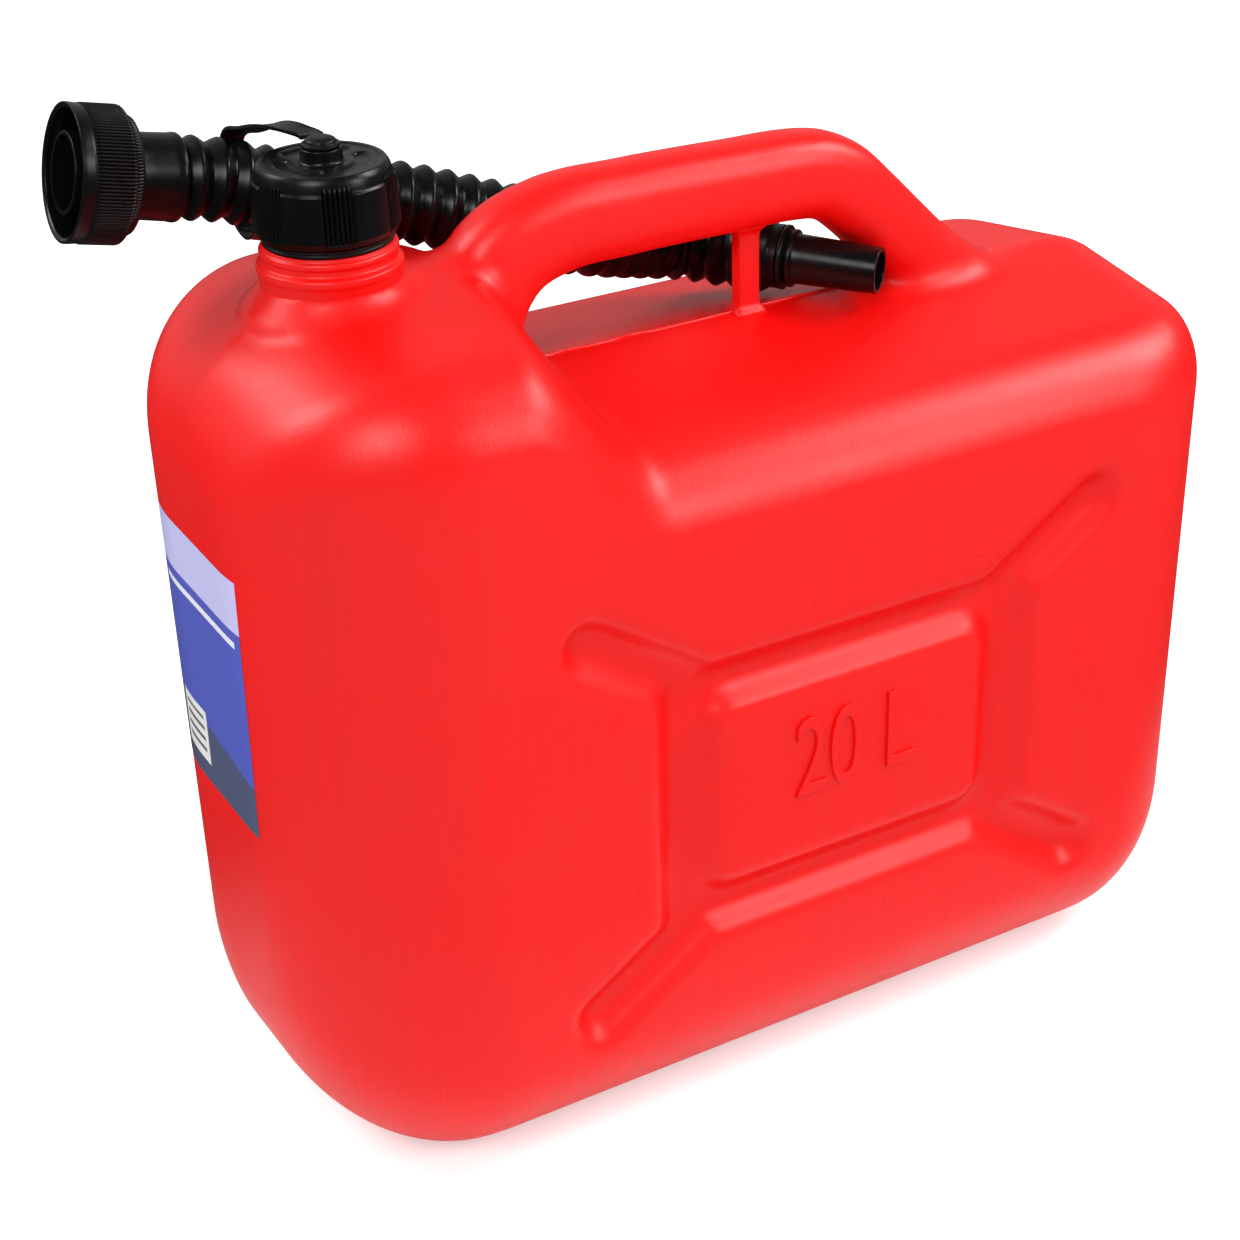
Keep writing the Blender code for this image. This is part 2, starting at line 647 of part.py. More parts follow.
def make_cap(material):
    """The screw cap: a ribbed skirt, a round-edged plate, and a boss with a pin on top."""
    rings = [
        cap_ring(NECK_TUBE_R, CAP_BASE_Z, 0),
        cap_ring(CAP_R - CAP_LIP / 3, CAP_BASE_Z, 0),
        cap_ring(CAP_R, CAP_BASE_Z + CAP_LIP / 3, 0),
        cap_ring(CAP_R, CAP_BASE_Z + CAP_LIP, 1),
    ]
    shoulder_z = CAP_TOP_Z - CAP_EDGE_ROUND
    rings.append(cap_ring(CAP_TOP_R, shoulder_z - CAP_RIB_RUNOUT, 1))
    rings.append(cap_ring(CAP_TOP_R, shoulder_z, 0))
    for step in range(1, CAP_EDGE_STEPS + 1):
        angle = math.pi / 2 * step / CAP_EDGE_STEPS
        rings.append(cap_ring(CAP_TOP_R - CAP_EDGE_ROUND * (1 - math.cos(angle)),
                              shoulder_z + CAP_EDGE_ROUND * math.sin(angle), 0))
    cap = loft("cap_shell", rings, material)

    groove_z = CAP_TOP_Z + CAP_BOSS_HEIGHT * CAP_BOSS_GROOVE_share
    boss = turned("boss_blank", [
        (0, CAP_ROOM_Z + CAP_PLATE / 2),
        (CAP_BOSS_R, CAP_ROOM_Z + CAP_PLATE / 2),
        (CAP_BOSS_R, groove_z - CAP_BOSS_GROOVE),
        (CAP_BOSS_R - CAP_BOSS_GROOVE, groove_z),
        (CAP_BOSS_R, groove_z + CAP_BOSS_GROOVE),
        (CAP_BOSS_R, BOSS_TOP_Z - CAP_BOSS_GROOVE),
        (CAP_BOSS_R - CAP_BOSS_GROOVE, BOSS_TOP_Z),
        (CAP_PIN_R, BOSS_TOP_Z),
        (CAP_PIN_R, BOSS_TOP_Z + CAP_PIN_HEIGHT),
        (0, BOSS_TOP_Z + CAP_PIN_HEIGHT),
    ])
    boss.location = (NECK_X, 0, 0)
    combine(cap, boss, "UNION")
    for number in range(CAP_POCKETS):
        middle = CAP_FIRST_GROUP + math.tau * number / CAP_POCKETS
        combine(cap, pocket_cutter(f"pocket_{number}", middle), "DIFFERENCE")
    room = turned("cap_room", [(0, CAP_BASE_Z - OVERRUN), (CAP_ROOM_R, CAP_BASE_Z - OVERRUN),
                               (CAP_ROOM_R, CAP_ROOM_Z), (0, CAP_ROOM_Z)])
    room.location = (NECK_X, 0, 0)
    combine(cap, room, "DIFFERENCE")
    return cap


def make_cap_seal(material):
    """The soft disc that the cap presses on the neck's lip."""
    top = SEAL_BASE_Z + SEAL_THICKNESS
    seal = turned("cap_seal", [(0, SEAL_BASE_Z), (SEAL_R, SEAL_BASE_Z), (SEAL_R, top), (0, top)], material)
    seal.location = (NECK_X, 0, 0)
    return seal


def make_tether_ring(material):
    """The ring that lies on the neck's seat, under the cap."""
    inner = NECK_TUBE_R + RING_NECK_CLEARANCE
    top = RING_BASE_Z + RING_THICKNESS
    edge = NECK_LIP_CHAMFER
    ring = turned("tether_ring", [(inner, RING_BASE_Z), (RING_R - edge, RING_BASE_Z),
                                  (RING_R, RING_BASE_Z + edge), (RING_R, top - edge),
                                  (RING_R - edge, top), (inner, top)], material)
    ring.location = (NECK_X, 0, 0)
    return ring


def make_tether_button(material):
    """The domed eye that snaps over the pin on the cap's boss."""
    socket_r = CAP_PIN_R + TOUCH_GAP
    socket_top = BOSS_TOP_Z + CAP_PIN_HEIGHT + TOUCH_GAP
    brim_top = BUTTON_BASE_Z + BUTTON_BRIM
    dome_rise = BUTTON_HEIGHT - BUTTON_BRIM
    profile = [(0, socket_top), (socket_r, socket_top), (socket_r, BUTTON_BASE_Z),
               (BUTTON_R, BUTTON_BASE_Z), (BUTTON_R, brim_top)]
    for step in range(BUTTON_STEPS + 1):
        angle = math.pi / 2 * step / BUTTON_STEPS
        profile.append((BUTTON_DOME_R * math.cos(angle), brim_top + dome_rise * math.sin(angle)))
    profile[-1] = (0, BUTTON_BASE_Z + BUTTON_HEIGHT)
    button = turned("tether_button", profile, material)
    button.location = (NECK_X, 0, 0)
    return button


def smooth_path(points):
    """A smooth curve through points, its slopes weighted for their uneven spacing."""
    gaps = [(after - before).length for before, after in zip(points, points[1:])]
    runs = [(after - before) / gap for before, after, gap in zip(points, points[1:], gaps)]
    slopes = [runs[0]]
    for index in range(1, len(runs)):
        near, far = gaps[index - 1], gaps[index]
        slopes.append((runs[index - 1] * far + runs[index] * near) / (near + far))
    slopes.append(runs[-1])
    path = []
    for index, gap in enumerate(gaps):
        start, end = points[index], points[index + 1]
        for step in range(PATH_STEPS):
            t = step / PATH_STEPS
            path.append(start * (1 + 2 * t) * (1 - t) ** 2 + end * (3 - 2 * t) * t ** 2
                        + slopes[index] * (gap * t * (1 - t) ** 2)
                        - slopes[index + 1] * (gap * (1 - t) * t ** 2))
    path.append(points[-1].copy())
    return path


def path_lengths(path):
    """Distance along a path up to each of its points."""
    lengths = [0]
    for start, end in zip(path, path[1:]):
        lengths.append(lengths[-1] + (end - start).length)
    return lengths


def point_at(path, lengths, distance):
    """The point of a path at a distance from its start."""
    for index in range(1, len(path)):
        if distance <= lengths[index] or index == len(path) - 1:
            part = (distance - lengths[index - 1]) / (lengths[index] - lengths[index - 1])
            return path[index - 1].lerp(path[index], part)
    return path[-1]


def heading(yaw, dip):
    """A direction from its turn about Z and its fall below the horizontal."""
    return Vector((math.cos(yaw) * math.cos(dip), math.sin(yaw) * math.cos(dip), -math.sin(dip)))


def nut_rim():
    """Middle of the nut's open rim."""
    return Vector((NECK_X - NUT_AHEAD, BESIDE_CAP_Y + NUT_SWING, HUMP_TOP_Z + NUT_LIFT))


def hose_end():
    """Middle of the hose's end at the nozzle, just past the post and on the roof."""
    nozzle_way = heading(NOZZLE_YAW, NOZZLE_DIP)
    away = Vector((-math.sin(NOZZLE_YAW), math.cos(NOZZLE_YAW), 0))
    corner = Vector((POST_X + POST_LENGTH / 2, POST_THICKNESS / 2, 0))
    end = corner + away * (HOSE_R + POST_CLEARANCE) + nozzle_way * NOZZLE_ADVANCE
    end.z = roof_height(end.x, end.y) + HOSE_R + TOUCH_GAP
    return end


def hose_route():
    """The hose from the collar, past the cap, over the step's edge and down to the roof."""
    start = nut_rim() + heading(SPOUT_YAW, SPOUT_DIP) * (NUT_LENGTH + COLLAR_LENGTH)
    straight = start + heading(SPOUT_YAW, SPOUT_DIP) * HOSE_RIB_PITCH
    beside_cap = Vector((NECK_X, BESIDE_CAP_Y, HUMP_TOP_Z + HOSE_R + CAP_SIDE_LIFT))
    edge_y = BESIDE_CAP_Y - HUMP_EDGE_INWARD
    edge = Vector((HUMP_EDGE_X, edge_y, roof_height(HUMP_EDGE_X, edge_y) + HOSE_R + HUMP_EDGE_INWARD))
    middle_y = BESIDE_CAP_Y - MIDWAY_INWARD
    middle_z = roof_height(MIDWAY_X, middle_y) + HOSE_R + MIDWAY_CLEARANCE
    end = hose_end()
    nozzle_way = heading(NOZZLE_YAW, NOZZLE_DIP)
    turned_in = end - nozzle_way * HOSE_END_STRAIGHT
    turning = turned_in - nozzle_way * HOSE_TURN_LEAD
    midway = Vector((MIDWAY_X, middle_y, middle_z))
    return [start, straight, beside_cap, edge, midway, turning, turned_in, end]


def swept_tube(name, stations):
    """A round tube over points with a radius each, made a mesh for Booleans."""
    curve = bpy.data.curves.new(name, "CURVE")
    curve.dimensions = "3D"
    curve.bevel_depth = 1
    curve.bevel_resolution = HOSE_BEVEL_RESOLUTION
    curve.use_fill_caps = True
    spline = curve.splines.new("POLY")
    spline.points.add(len(stations) - 1)
    for point, (place, radius) in zip(spline.points, stations):
        point.co = (*place, 1)
        point.radius = radius
    guide = bpy.data.objects.new(f"{name}_curve", curve)
    bpy.context.scene.collection.objects.link(guide)
    bpy.context.view_layer.update()
    mesh = bpy.data.meshes.new_from_object(guide.evaluated_get(bpy.context.evaluated_depsgraph_get()))
    bpy.data.objects.remove(guide, do_unlink=True)
    builder = bmesh.new()
    builder.from_mesh(mesh)
    bmesh.ops.remove_doubles(builder, verts=builder.verts, dist=WELD_DISTANCE)
    return builder


def make_hose(material):
    """The ribbed hose with its collar, flange and inlet sleeve, and the bore through them."""
    route = smooth_path(hose_route())
    lengths = path_lengths(route)
    total = lengths[-1]
    way = heading(SPOUT_YAW, SPOUT_DIP)
    ribs = int((total - HOSE_CUFF) / HOSE_RIB_PITCH)
    pitch = (total - HOSE_CUFF) / ribs
    stations = [(route[0] - way * COLLAR_LENGTH / 2, COLLAR_R - COLLAR_NECKING)]
    for rib in range(ribs):
        stations.append((point_at(route, lengths, rib * pitch), HOSE_VALLEY_R))
        stations.append((point_at(route, lengths, (rib + 1 / 2) * pitch), HOSE_R))
    stations.append((point_at(route, lengths, ribs * pitch), HOSE_VALLEY_R))
    stations.append((route[-1], HOSE_VALLEY_R))
    hose = finish_object("spout_hose", swept_tube("ribbed_tube", stations), material)

    rim = nut_rim()
    flange_at = NUT_LENGTH - NUT_PLATE - TOUCH_GAP
    collar_end = NUT_LENGTH + COLLAR_LENGTH
    collar = turned("collar_blank", [
        (0, SLEEVE_SETBACK),
        (SLEEVE_R, SLEEVE_SETBACK),
        (SLEEVE_R, flange_at - FLANGE_THICKNESS),
        (FLANGE_R, flange_at - FLANGE_THICKNESS),
        (FLANGE_R, flange_at),
        (COLLAR_R, flange_at),
        (COLLAR_R, collar_end - COLLAR_NECKING),
        (COLLAR_R - COLLAR_NECKING, collar_end),
        (0, collar_end),
    ])
    place_along(collar, rim, way)
    combine(hose, collar, "UNION")

    bore_stations = [(rim, HOSE_BORE_R), (rim + way * collar_end / 2, HOSE_BORE_R)]
    count = int(total / BORE_STEP)
    for index in range(count + 1):
        bore_stations.append((point_at(route, lengths, total * index / count), HOSE_BORE_R))
    beyond = route[-1] + heading(NOZZLE_YAW, NOZZLE_DIP) * OVERRUN
    bore_stations.append((beyond, HOSE_BORE_R))
    bore = finish_object("hose_bore", swept_tube("bore_tube", bore_stations), None)
    # the exact solver loses a bent tube inside a bent tube, and the wider inlet that meets it
    combine(hose, bore, "DIFFERENCE", "MANIFOLD")
    inlet_r = SLEEVE_R - SLEEVE_WALL
    throat_r = HOSE_BORE_R / 2
    throat_at = flange_at - FLANGE_THICKNESS + inlet_r - throat_r
    inlet = turned("inlet_bore", [
        (0, -OVERRUN),
        (inlet_r, -OVERRUN),
        (inlet_r, flange_at - FLANGE_THICKNESS),
        (throat_r, throat_at),
        (0, throat_at),
    ])
    place_along(inlet, rim, way)
    combine(hose, inlet, "DIFFERENCE", "MANIFOLD")
    return hose


def make_nozzle(material):
    """The stiff nozzle: a spigot in the hose, stepped rings and a slim tapered tube."""
    start = TOUCH_GAP
    profile = [(NOZZLE_SPIGOT_R - NOZZLE_WALL, -NOZZLE_SPIGOT_LENGTH),
               (NOZZLE_SPIGOT_R, -NOZZLE_SPIGOT_LENGTH),
               (NOZZLE_SPIGOT_R, start)]
    along = start
    for ring in range(NOZZLE_RINGS):
        radius = NOZZLE_RING_R - ring * NOZZLE_RING_FALL
        valley = radius - NOZZLE_RING_FALL
        profile += [(valley, along), (radius, along + NOZZLE_RING_LENGTH / 4),
                    (radius, along + NOZZLE_RING_LENGTH * 3 / 4), (valley, along + NOZZLE_RING_LENGTH)]
        along += NOZZLE_RING_LENGTH + NOZZLE_RING_GAP
    profile += [
        (NOZZLE_ROOT_R, along + NOZZLE_RING_GAP),
        (NOZZLE_TIP_R, NOZZLE_LENGTH - NOZZLE_TIP_CHAMFER),
        (NOZZLE_TIP_R - NOZZLE_TIP_CHAMFER, NOZZLE_LENGTH),
        (NOZZLE_TIP_R - NOZZLE_WALL, NOZZLE_LENGTH),
    ]
    nozzle = turned("spout_nozzle", profile, material)
    place_along(nozzle, hose_end(), heading(NOZZLE_YAW, NOZZLE_DIP))
    return nozzle


def nut_ring(radius, along, knurled):
    """One ring of the nut, plain or with its knurls' crests and valleys."""
    ring = []
    for point in range(2 * NUT_KNURLS):
        angle = math.pi * point / NUT_KNURLS
        reach = radius + knurled * NUT_KNURL_HEIGHT * (point % 2)
        ring.append((reach * math.cos(angle), reach * math.sin(angle), along))
    return ring


def make_nut(material):
    """The knurled nut that clamps the spout on the neck in the cap's place."""
    knurl_end = NUT_DRUM_LENGTH - NUT_STEP_ROUND
    hole_r = COLLAR_R + NUT_HOLE_CLEARANCE
    nut = loft("spout_nut", [
        nut_ring(COLLAR_R, 0, 0),
        nut_ring(NUT_R, 0, 0),
        nut_ring(NUT_R + NUT_KNURL_HEIGHT, NUT_KNURL_HEIGHT, 0),
        nut_ring(NUT_R + NUT_KNURL_HEIGHT, NUT_RIM_LENGTH, 0),
        nut_ring(NUT_R, NUT_RIM_LENGTH + NUT_KNURL_HEIGHT, 1),
        nut_ring(NUT_R, knurl_end, 1),
        nut_ring(NUT_STEP_R + NUT_STEP_ROUND, NUT_DRUM_LENGTH, 0),
        nut_ring(NUT_STEP_R, NUT_DRUM_LENGTH, 0),
        nut_ring(NUT_STEP_R, NUT_LENGTH - NUT_STEP_ROUND, 0),
        nut_ring(NUT_STEP_R - NUT_STEP_ROUND, NUT_LENGTH, 0),
        nut_ring(COLLAR_R, NUT_LENGTH, 0),
    ], material)
    place_along(nut, nut_rim(), heading(SPOUT_YAW, SPOUT_DIP))
    step_room_r = NUT_STEP_R - NUT_STEP_ROUND
    room = turned("nut_room", [
        (0, -OVERRUN),
        (CAP_ROOM_R + NUT_ENTRY_CHAMFER + OVERRUN, -OVERRUN),
        (CAP_ROOM_R, NUT_ENTRY_CHAMFER),
        (CAP_ROOM_R, NUT_DRUM_LENGTH - NUT_PLATE),
        (step_room_r, NUT_DRUM_LENGTH - NUT_PLATE + NUT_STEP_ROUND),
        (step_room_r, NUT_LENGTH - NUT_PLATE),
        (hole_r, NUT_LENGTH - NUT_PLATE),
        (hole_r, NUT_LENGTH + OVERRUN),
        (0, NUT_LENGTH + OVERRUN),
    ])
    place_along(room, nut_rim(), heading(SPOUT_YAW, SPOUT_DIP))
    combine(nut, room, "DIFFERENCE")
    return nut


def make_spout_seal(material):
    """The ring gasket on the collar's flange."""
    top = NUT_LENGTH - NUT_PLATE - FLANGE_THICKNESS - 2 * TOUCH_GAP
    base = top - SEAL_THICKNESS
    inner = SLEEVE_R + SPOUT_SEAL_CLEARANCE
    profile = [(inner, base), (SPOUT_SEAL_R, base), (SPOUT_SEAL_R, top), (inner, top)]
    seal = turned("spout_seal", profile, material)
    place_along(seal, nut_rim(), heading(SPOUT_YAW, SPOUT_DIP))
    return seal


def strap_route():
    """The strap's middle line: off the button, over the hose, round under it and back to the ring."""
    hose = hose_route()
    beside = hose[2]
    back = (beside.x - STRAP_SWEEP - hose[1].x) / (beside.x - hose[1].x)
    axis = hose[1].lerp(beside, back)
    half = STRAP_THICKNESS / 2
    over = HOSE_R + half + STRAP_TOP_CLEARANCE
    aside = HOSE_R + half + STRAP_SIDE_CLEARANCE
    under = HOSE_R + half + STRAP_UNDER_CLEARANCE
    start = Vector((NECK_X, BUTTON_R + TOUCH_GAP, BUTTON_BASE_Z + STRAP_THICKNESS))
    ring_r = RING_R + STRAP_THICKNESS / 3
    end = Vector((NECK_X + ring_r * math.cos(STRAP_RING_ANGLE), ring_r * math.sin(STRAP_RING_ANGLE),
                  RING_BASE_Z + RING_THICKNESS / 2))
    round_hose = []
    for up, out in STRAP_LOOP_shares:
        reach_up = over if up > 0 else under
        round_hose.append(axis + Vector((0, aside * out, reach_up * up)))
    level = start + Vector((0, STRAP_WIDTH / 3, 0))
    leave = start + Vector((-STRAP_WIDTH / 3, STRAP_WIDTH, STRAP_START_RISE))
    from_ring = Vector((math.cos(STRAP_RING_ANGLE), math.sin(STRAP_RING_ANGLE), 0))
    ahead = end + from_ring * STRAP_WIDTH / 2
    return [start, level, leave] + round_hose + [ahead, end]


def strap_width_way(part):
    """Direction across the strap: along the hose, turning to the ring's tangent at its end."""
    tangent = Vector((math.sin(STRAP_RING_ANGLE), -math.cos(STRAP_RING_ANGLE), 0))
    turn = max((part - STRAP_TURN_share) / (1 - STRAP_TURN_share), 0)
    return heading(SPOUT_YAW, SPOUT_DIP).lerp(tangent, turn * turn * (3 - 2 * turn))


def make_strap(material):
    """The flat flexible strap of the tether."""
    path = smooth_path(strap_route())
    lengths = path_lengths(path)
    rings = []
    for index in range(STRAP_STEPS + 1):
        distance = lengths[-1] * index / STRAP_STEPS
        step = lengths[-1] / STRAP_STEPS / 2
        here = point_at(path, lengths, distance)
        ahead = point_at(path, lengths, min(distance + step, lengths[-1]))
        behind = point_at(path, lengths, max(distance - step, 0))
        along = (ahead - behind).normalized()
        width_way = strap_width_way(index / STRAP_STEPS)
        across = (width_way - along * width_way.dot(along)).normalized() * STRAP_WIDTH / 2
        up = along.cross(across).normalized() * STRAP_THICKNESS / 2
        rings.append([here + across + up, here - across + up, here - across - up, here + across - up])
    return loft("tether_strap", rings, material)


def build_can():
    """Model every piece of the can."""
    clear_scene()
    red = plastic("red_polyethylene", (0.80, 0.012, 0.010), 0.38)
    black = plastic("black_polyethylene", (0.012, 0.013, 0.015), 0.28)
    soft_black = plastic("soft_black_polyethylene", (0.016, 0.017, 0.019), 0.36)
    gasket = plastic("gasket_foam", (0.62, 0.62, 0.60), 0.70)
    make_can_body(red)
    make_cap(black)
    make_cap_seal(gasket)
    make_tether_ring(soft_black)
    make_tether_button(soft_black)
    make_strap(soft_black)
    make_hose(black)
    make_nozzle(black)
    make_nut(black)
    make_spout_seal(gasket)


build_can()
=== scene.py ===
"""Looks of a red blow-moulded fuel can with a screw cap, a tether and its stored pouring spout.

Metres, +Z up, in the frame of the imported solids. Each piece is a surface on a grid of two
parameters, worked out from the same sizes as the solid that it stands for.
"""

import math

import bmesh
import bpy
import numpy as np
from mathutils import Matrix, Vector


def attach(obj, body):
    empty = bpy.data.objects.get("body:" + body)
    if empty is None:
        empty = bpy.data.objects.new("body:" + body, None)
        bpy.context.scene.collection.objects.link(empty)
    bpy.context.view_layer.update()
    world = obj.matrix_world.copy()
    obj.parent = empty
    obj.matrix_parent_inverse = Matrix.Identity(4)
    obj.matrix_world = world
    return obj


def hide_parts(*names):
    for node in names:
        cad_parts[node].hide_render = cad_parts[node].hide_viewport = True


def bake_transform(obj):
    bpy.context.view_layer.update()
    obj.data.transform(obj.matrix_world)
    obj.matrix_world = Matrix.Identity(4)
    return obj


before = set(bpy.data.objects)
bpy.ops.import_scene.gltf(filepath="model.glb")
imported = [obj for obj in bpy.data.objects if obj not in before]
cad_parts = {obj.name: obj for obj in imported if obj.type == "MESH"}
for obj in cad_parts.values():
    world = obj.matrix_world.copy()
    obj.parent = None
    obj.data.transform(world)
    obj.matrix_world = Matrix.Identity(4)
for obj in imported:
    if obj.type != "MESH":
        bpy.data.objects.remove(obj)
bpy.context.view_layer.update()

# The shell
CAN_LENGTH = 0.420
CAN_WIDTH = 0.1946
RIDGE_Z = 0.2995
WALL = 0.002
TAPER_share = 0.021
ROOF_SLOPE = math.radians(9)
PLAN_R_NECK_END = 0.0755
PLAN_R_REAR_END = 0.0605
FOOT_R_END = 0.064
FOOT_R_SIDE = 0.0545
TOP_R_NECK_END = 0.0645
TOP_R_REAR_END = 0.035
SHOULDER_R = 0.037
FOOT_DRAW_share = 0.45
SHOULDER_DRAW_share = 0.45
HUMP_RISE = 0.0480
HUMP_LENGTH = 0.146
HUMP_FOOT_X = HUMP_LENGTH - CAN_LENGTH / 2
HUMP_RUN_MIDDLE = 0.041
HUMP_RUN_SIDE = 0.058
HUMP_TOP_Z = RIDGE_Z + HUMP_RISE
SKIN_VOXEL = 0.0024
SKIN_INSET = 0.0002
STATION_STEP = 0.0022
CALM_ROUNDS = 3
CALM_WEIGHT = 0.4
FILLET_ROUNDS = 34
FILLET_WEIGHT = 0.6
HANDLE_FILLET_REACH = 0.014
NECK_FILLET_REACH = 0.006

# The grooves pressed into both broad faces
PANEL_X = 0.0125
PANEL_Z = 0.146
FRAME_HALF_X = 0.0890
FRAME_HALF_Z = 0.0620
FRAME_CORNER_R = 0.010
PANEL_HALF_X = 0.0610
PANEL_HALF_Z = 0.0380
PANEL_CORNER_R = 0.006
GROOVE_DEPTH = 0.0088
GROOVE_DRAFT_RUN = 0.0080
ARM_DEPTH = 0.0082
ARM_HALF_WIDTH = 0.0125
ARM_DRAFT_RUN = 0.0074
ARM_TIP_X = 0.1155
ARM_TIP_Z = 0.0815
ARM_ROOT_X = 0.0740
ARM_ROOT_Z = 0.0545
GROOVE_ROUNDING_share = 0.16
GROOVE_BLEND = 0.0010
ARC_ROWS_share = 1.6

# The hollow handle and the thin post under it
HANDLE_RISE = 0.0687
HANDLE_TOP_Z = RIDGE_Z + HANDLE_RISE
HANDLE_DEPTH = 0.035
HANDLE_WIDTH = 0.030
HANDLE_LEAD = 0.036
HANDLE_FRONT_X = HUMP_FOOT_X - HANDLE_LEAD
HANDLE_SETBACK = 0.062
HANDLE_REAR_X = CAN_LENGTH / 2 - HANDLE_SETBACK
HANDLE_SQUARENESS = 2.6
HANDLE_SIDES = 72
HANDLE_STEPS = 8
# along the span, up from the ridge to the grip's middle, half depth, half width
HANDLE_PATH_shares = np.array((
    (0.000, -0.077, 1.14, 1.06),
    (0.008, 0.308, 1.14, 1.06),
    (0.032, 0.615, 1.13, 1.05),
    (0.082, 0.870, 1.08, 1.04),
    (0.155, 0.993, 1.05, 1.03),
    (0.280, 1.018, 1.03, 1.02),
    (0.488, 1.008, 1.01, 1.00),
    (0.580, 1.000, 1.00, 1.00),
    (0.630, 0.970, 0.99, 1.00),
    (0.670, 0.885, 0.98, 1.00),
    (0.718, 0.690, 0.95, 1.00),
    (0.770, 0.440, 0.95, 1.01),
    (0.834, 0.119, 0.99, 1.06),
    (0.890, -0.135, 1.08, 1.16),
    (1.000, -0.481, 1.16, 1.26),
))
HANDLE_MIDDLE_Z = HANDLE_TOP_Z - HANDLE_DEPTH / 2
POST_SETBACK = 0.125
POST_X = HANDLE_FRONT_X + POST_SETBACK
POST_LENGTH = 0.010
POST_THICKNESS = 0.006
POST_SQUARENESS = 7
POST_FLARE = 0.0022
POST_BURY = 0.0030
POST_ROWS = 60
POST_SIDES = 64

# The neck
NECK_SETBACK = 0.0602
NECK_X = NECK_SETBACK - CAN_LENGTH / 2
NECK_SEAT_RISE = 0.0148
NECK_STUB_R = 0.0272
NECK_STUB_RISE = 0.0020
NECK_FLARE_R = 0.0335
NECK_FOOT_R = 0.0257
NECK_LOW_BEAD_R = 0.0262
NECK_BEAD_R = 0.0248
NECK_VALLEY_R = 0.0240
NECK_SEAT_R = 0.0235
NECK_TUBE_R = 0.0208
NECK_BORE_R = 0.0183
NECK_LIP_ROUND = 0.0008
NECK_BEAD_ROUND = 0.0007
# radius, and height above the raised end as a share of the seat's rise
NECK_BEADS_shares = (
    (NECK_FOOT_R, 0.28), (NECK_LOW_BEAD_R, 0.36), (NECK_LOW_BEAD_R, 0.50), (NECK_VALLEY_R, 0.58),
    (NECK_VALLEY_R, 0.72), (NECK_BEAD_R, 0.77), (NECK_BEAD_R, 0.88), (NECK_SEAT_R, 0.94),
)
NECK_BORE_FOOT_share = 0.85
NECK_THROAT_share = 0.40
NECK_PROFILE_STEP = 0.0005
NECK_THREAD_PITCH = 0.0040
NECK_THREAD_HEIGHT = 0.0008
NECK_THREAD_START = 0.0015
NECK_THREAD_END = 0.0020
THREAD_FADE = 0.001
FADE_ROUNDING_share = 0.2
WALL_TOLERANCE = 0.0002
ROUND_SIDES = 144
TOUCH_GAP = 0.0003
RING_SEAT_Z = HUMP_TOP_Z + NECK_SEAT_RISE
RING_BASE_Z = RING_SEAT_Z + TOUCH_GAP

# The screw cap
CAP_R = 0.0254
CAP_TOP_R = 0.0238
CAP_RIB_HEIGHT = 0.0008
CAP_RIB_GROUPS = 6
CAP_RIBS_IN_GROUP = 6
CAP_RIB_PITCH = math.radians(4.0)
CAP_SHOULDER = 0.0046
CAP_BEVEL = 0.0015
CAP_FIRST_GROUP = math.radians(-103)
CAP_RIB_POWER = 0.7
CAP_RIB_SWING_share = 1.5
CAP_RIB_SINK_share = 1.1
CAP_LOBE_SWING_share = 0.8
CAP_RIB_START = 0.0012
CAP_RIB_PAST_SHOULDER = 0.0010
CAP_LOBE_SHORT_OF_SHOULDER = 0.0008
CAP_RIB_FADE = 0.0008
CAP_RIB_TOP_FADE = 0.0006
CAP_RIB_TOP_ROUNDING_share = 0.1
CAP_RIB_LEAST_WALL = 0.0008
CAP_THREAD_START = 0.0015
CAP_THREAD_END = 0.0025
CAP_DISC_SINK = 0.0004
CAP_RIM_share = 2.2
CAP_DISC_share = 2.6
CAP_SKIRT_ROUND = 0.0005
CAP_SHOULDER_ROUND = 0.0030
CAP_PROFILE_STEP = 0.0007
CAP_HEIGHT = 0.0248
CAP_PLATE = 0.0022
CAP_BOSS_R = 0.0075
CAP_BOSS_HEIGHT = 0.0046
CAP_PIN_R = 0.0024
CAP_PIN_HEIGHT = 0.0018
CAP_POCKETS = 3
CAP_POCKET_INNER_R = 0.0112
CAP_POCKET_OUTER_R = 0.0172
CAP_POCKET_DEPTH = 0.0009
CAP_POCKET_HALF_ANGLE = math.radians(40)
CAP_POCKET_WALL = 0.0006
CAP_SIDES = 720
RING_THICKNESS = 0.0024
CAP_RING_GAP = 0.0012
THREAD_CLEARANCE = 0.0019
CAP_THREAD_HEIGHT = 0.0007
CAP_BASE_Z = RING_BASE_Z + RING_THICKNESS + CAP_RING_GAP
CAP_TOP_Z = CAP_BASE_Z + CAP_HEIGHT
CAP_ROOM_Z = CAP_TOP_Z - CAP_PLATE
CAP_ROOM_R = NECK_TUBE_R + THREAD_CLEARANCE
BOSS_TOP_Z = CAP_TOP_Z + CAP_BOSS_HEIGHT
SEAL_THICKNESS = 0.0014
NECK_TOP_Z = CAP_ROOM_Z - 2 * TOUCH_GAP - SEAL_THICKNESS

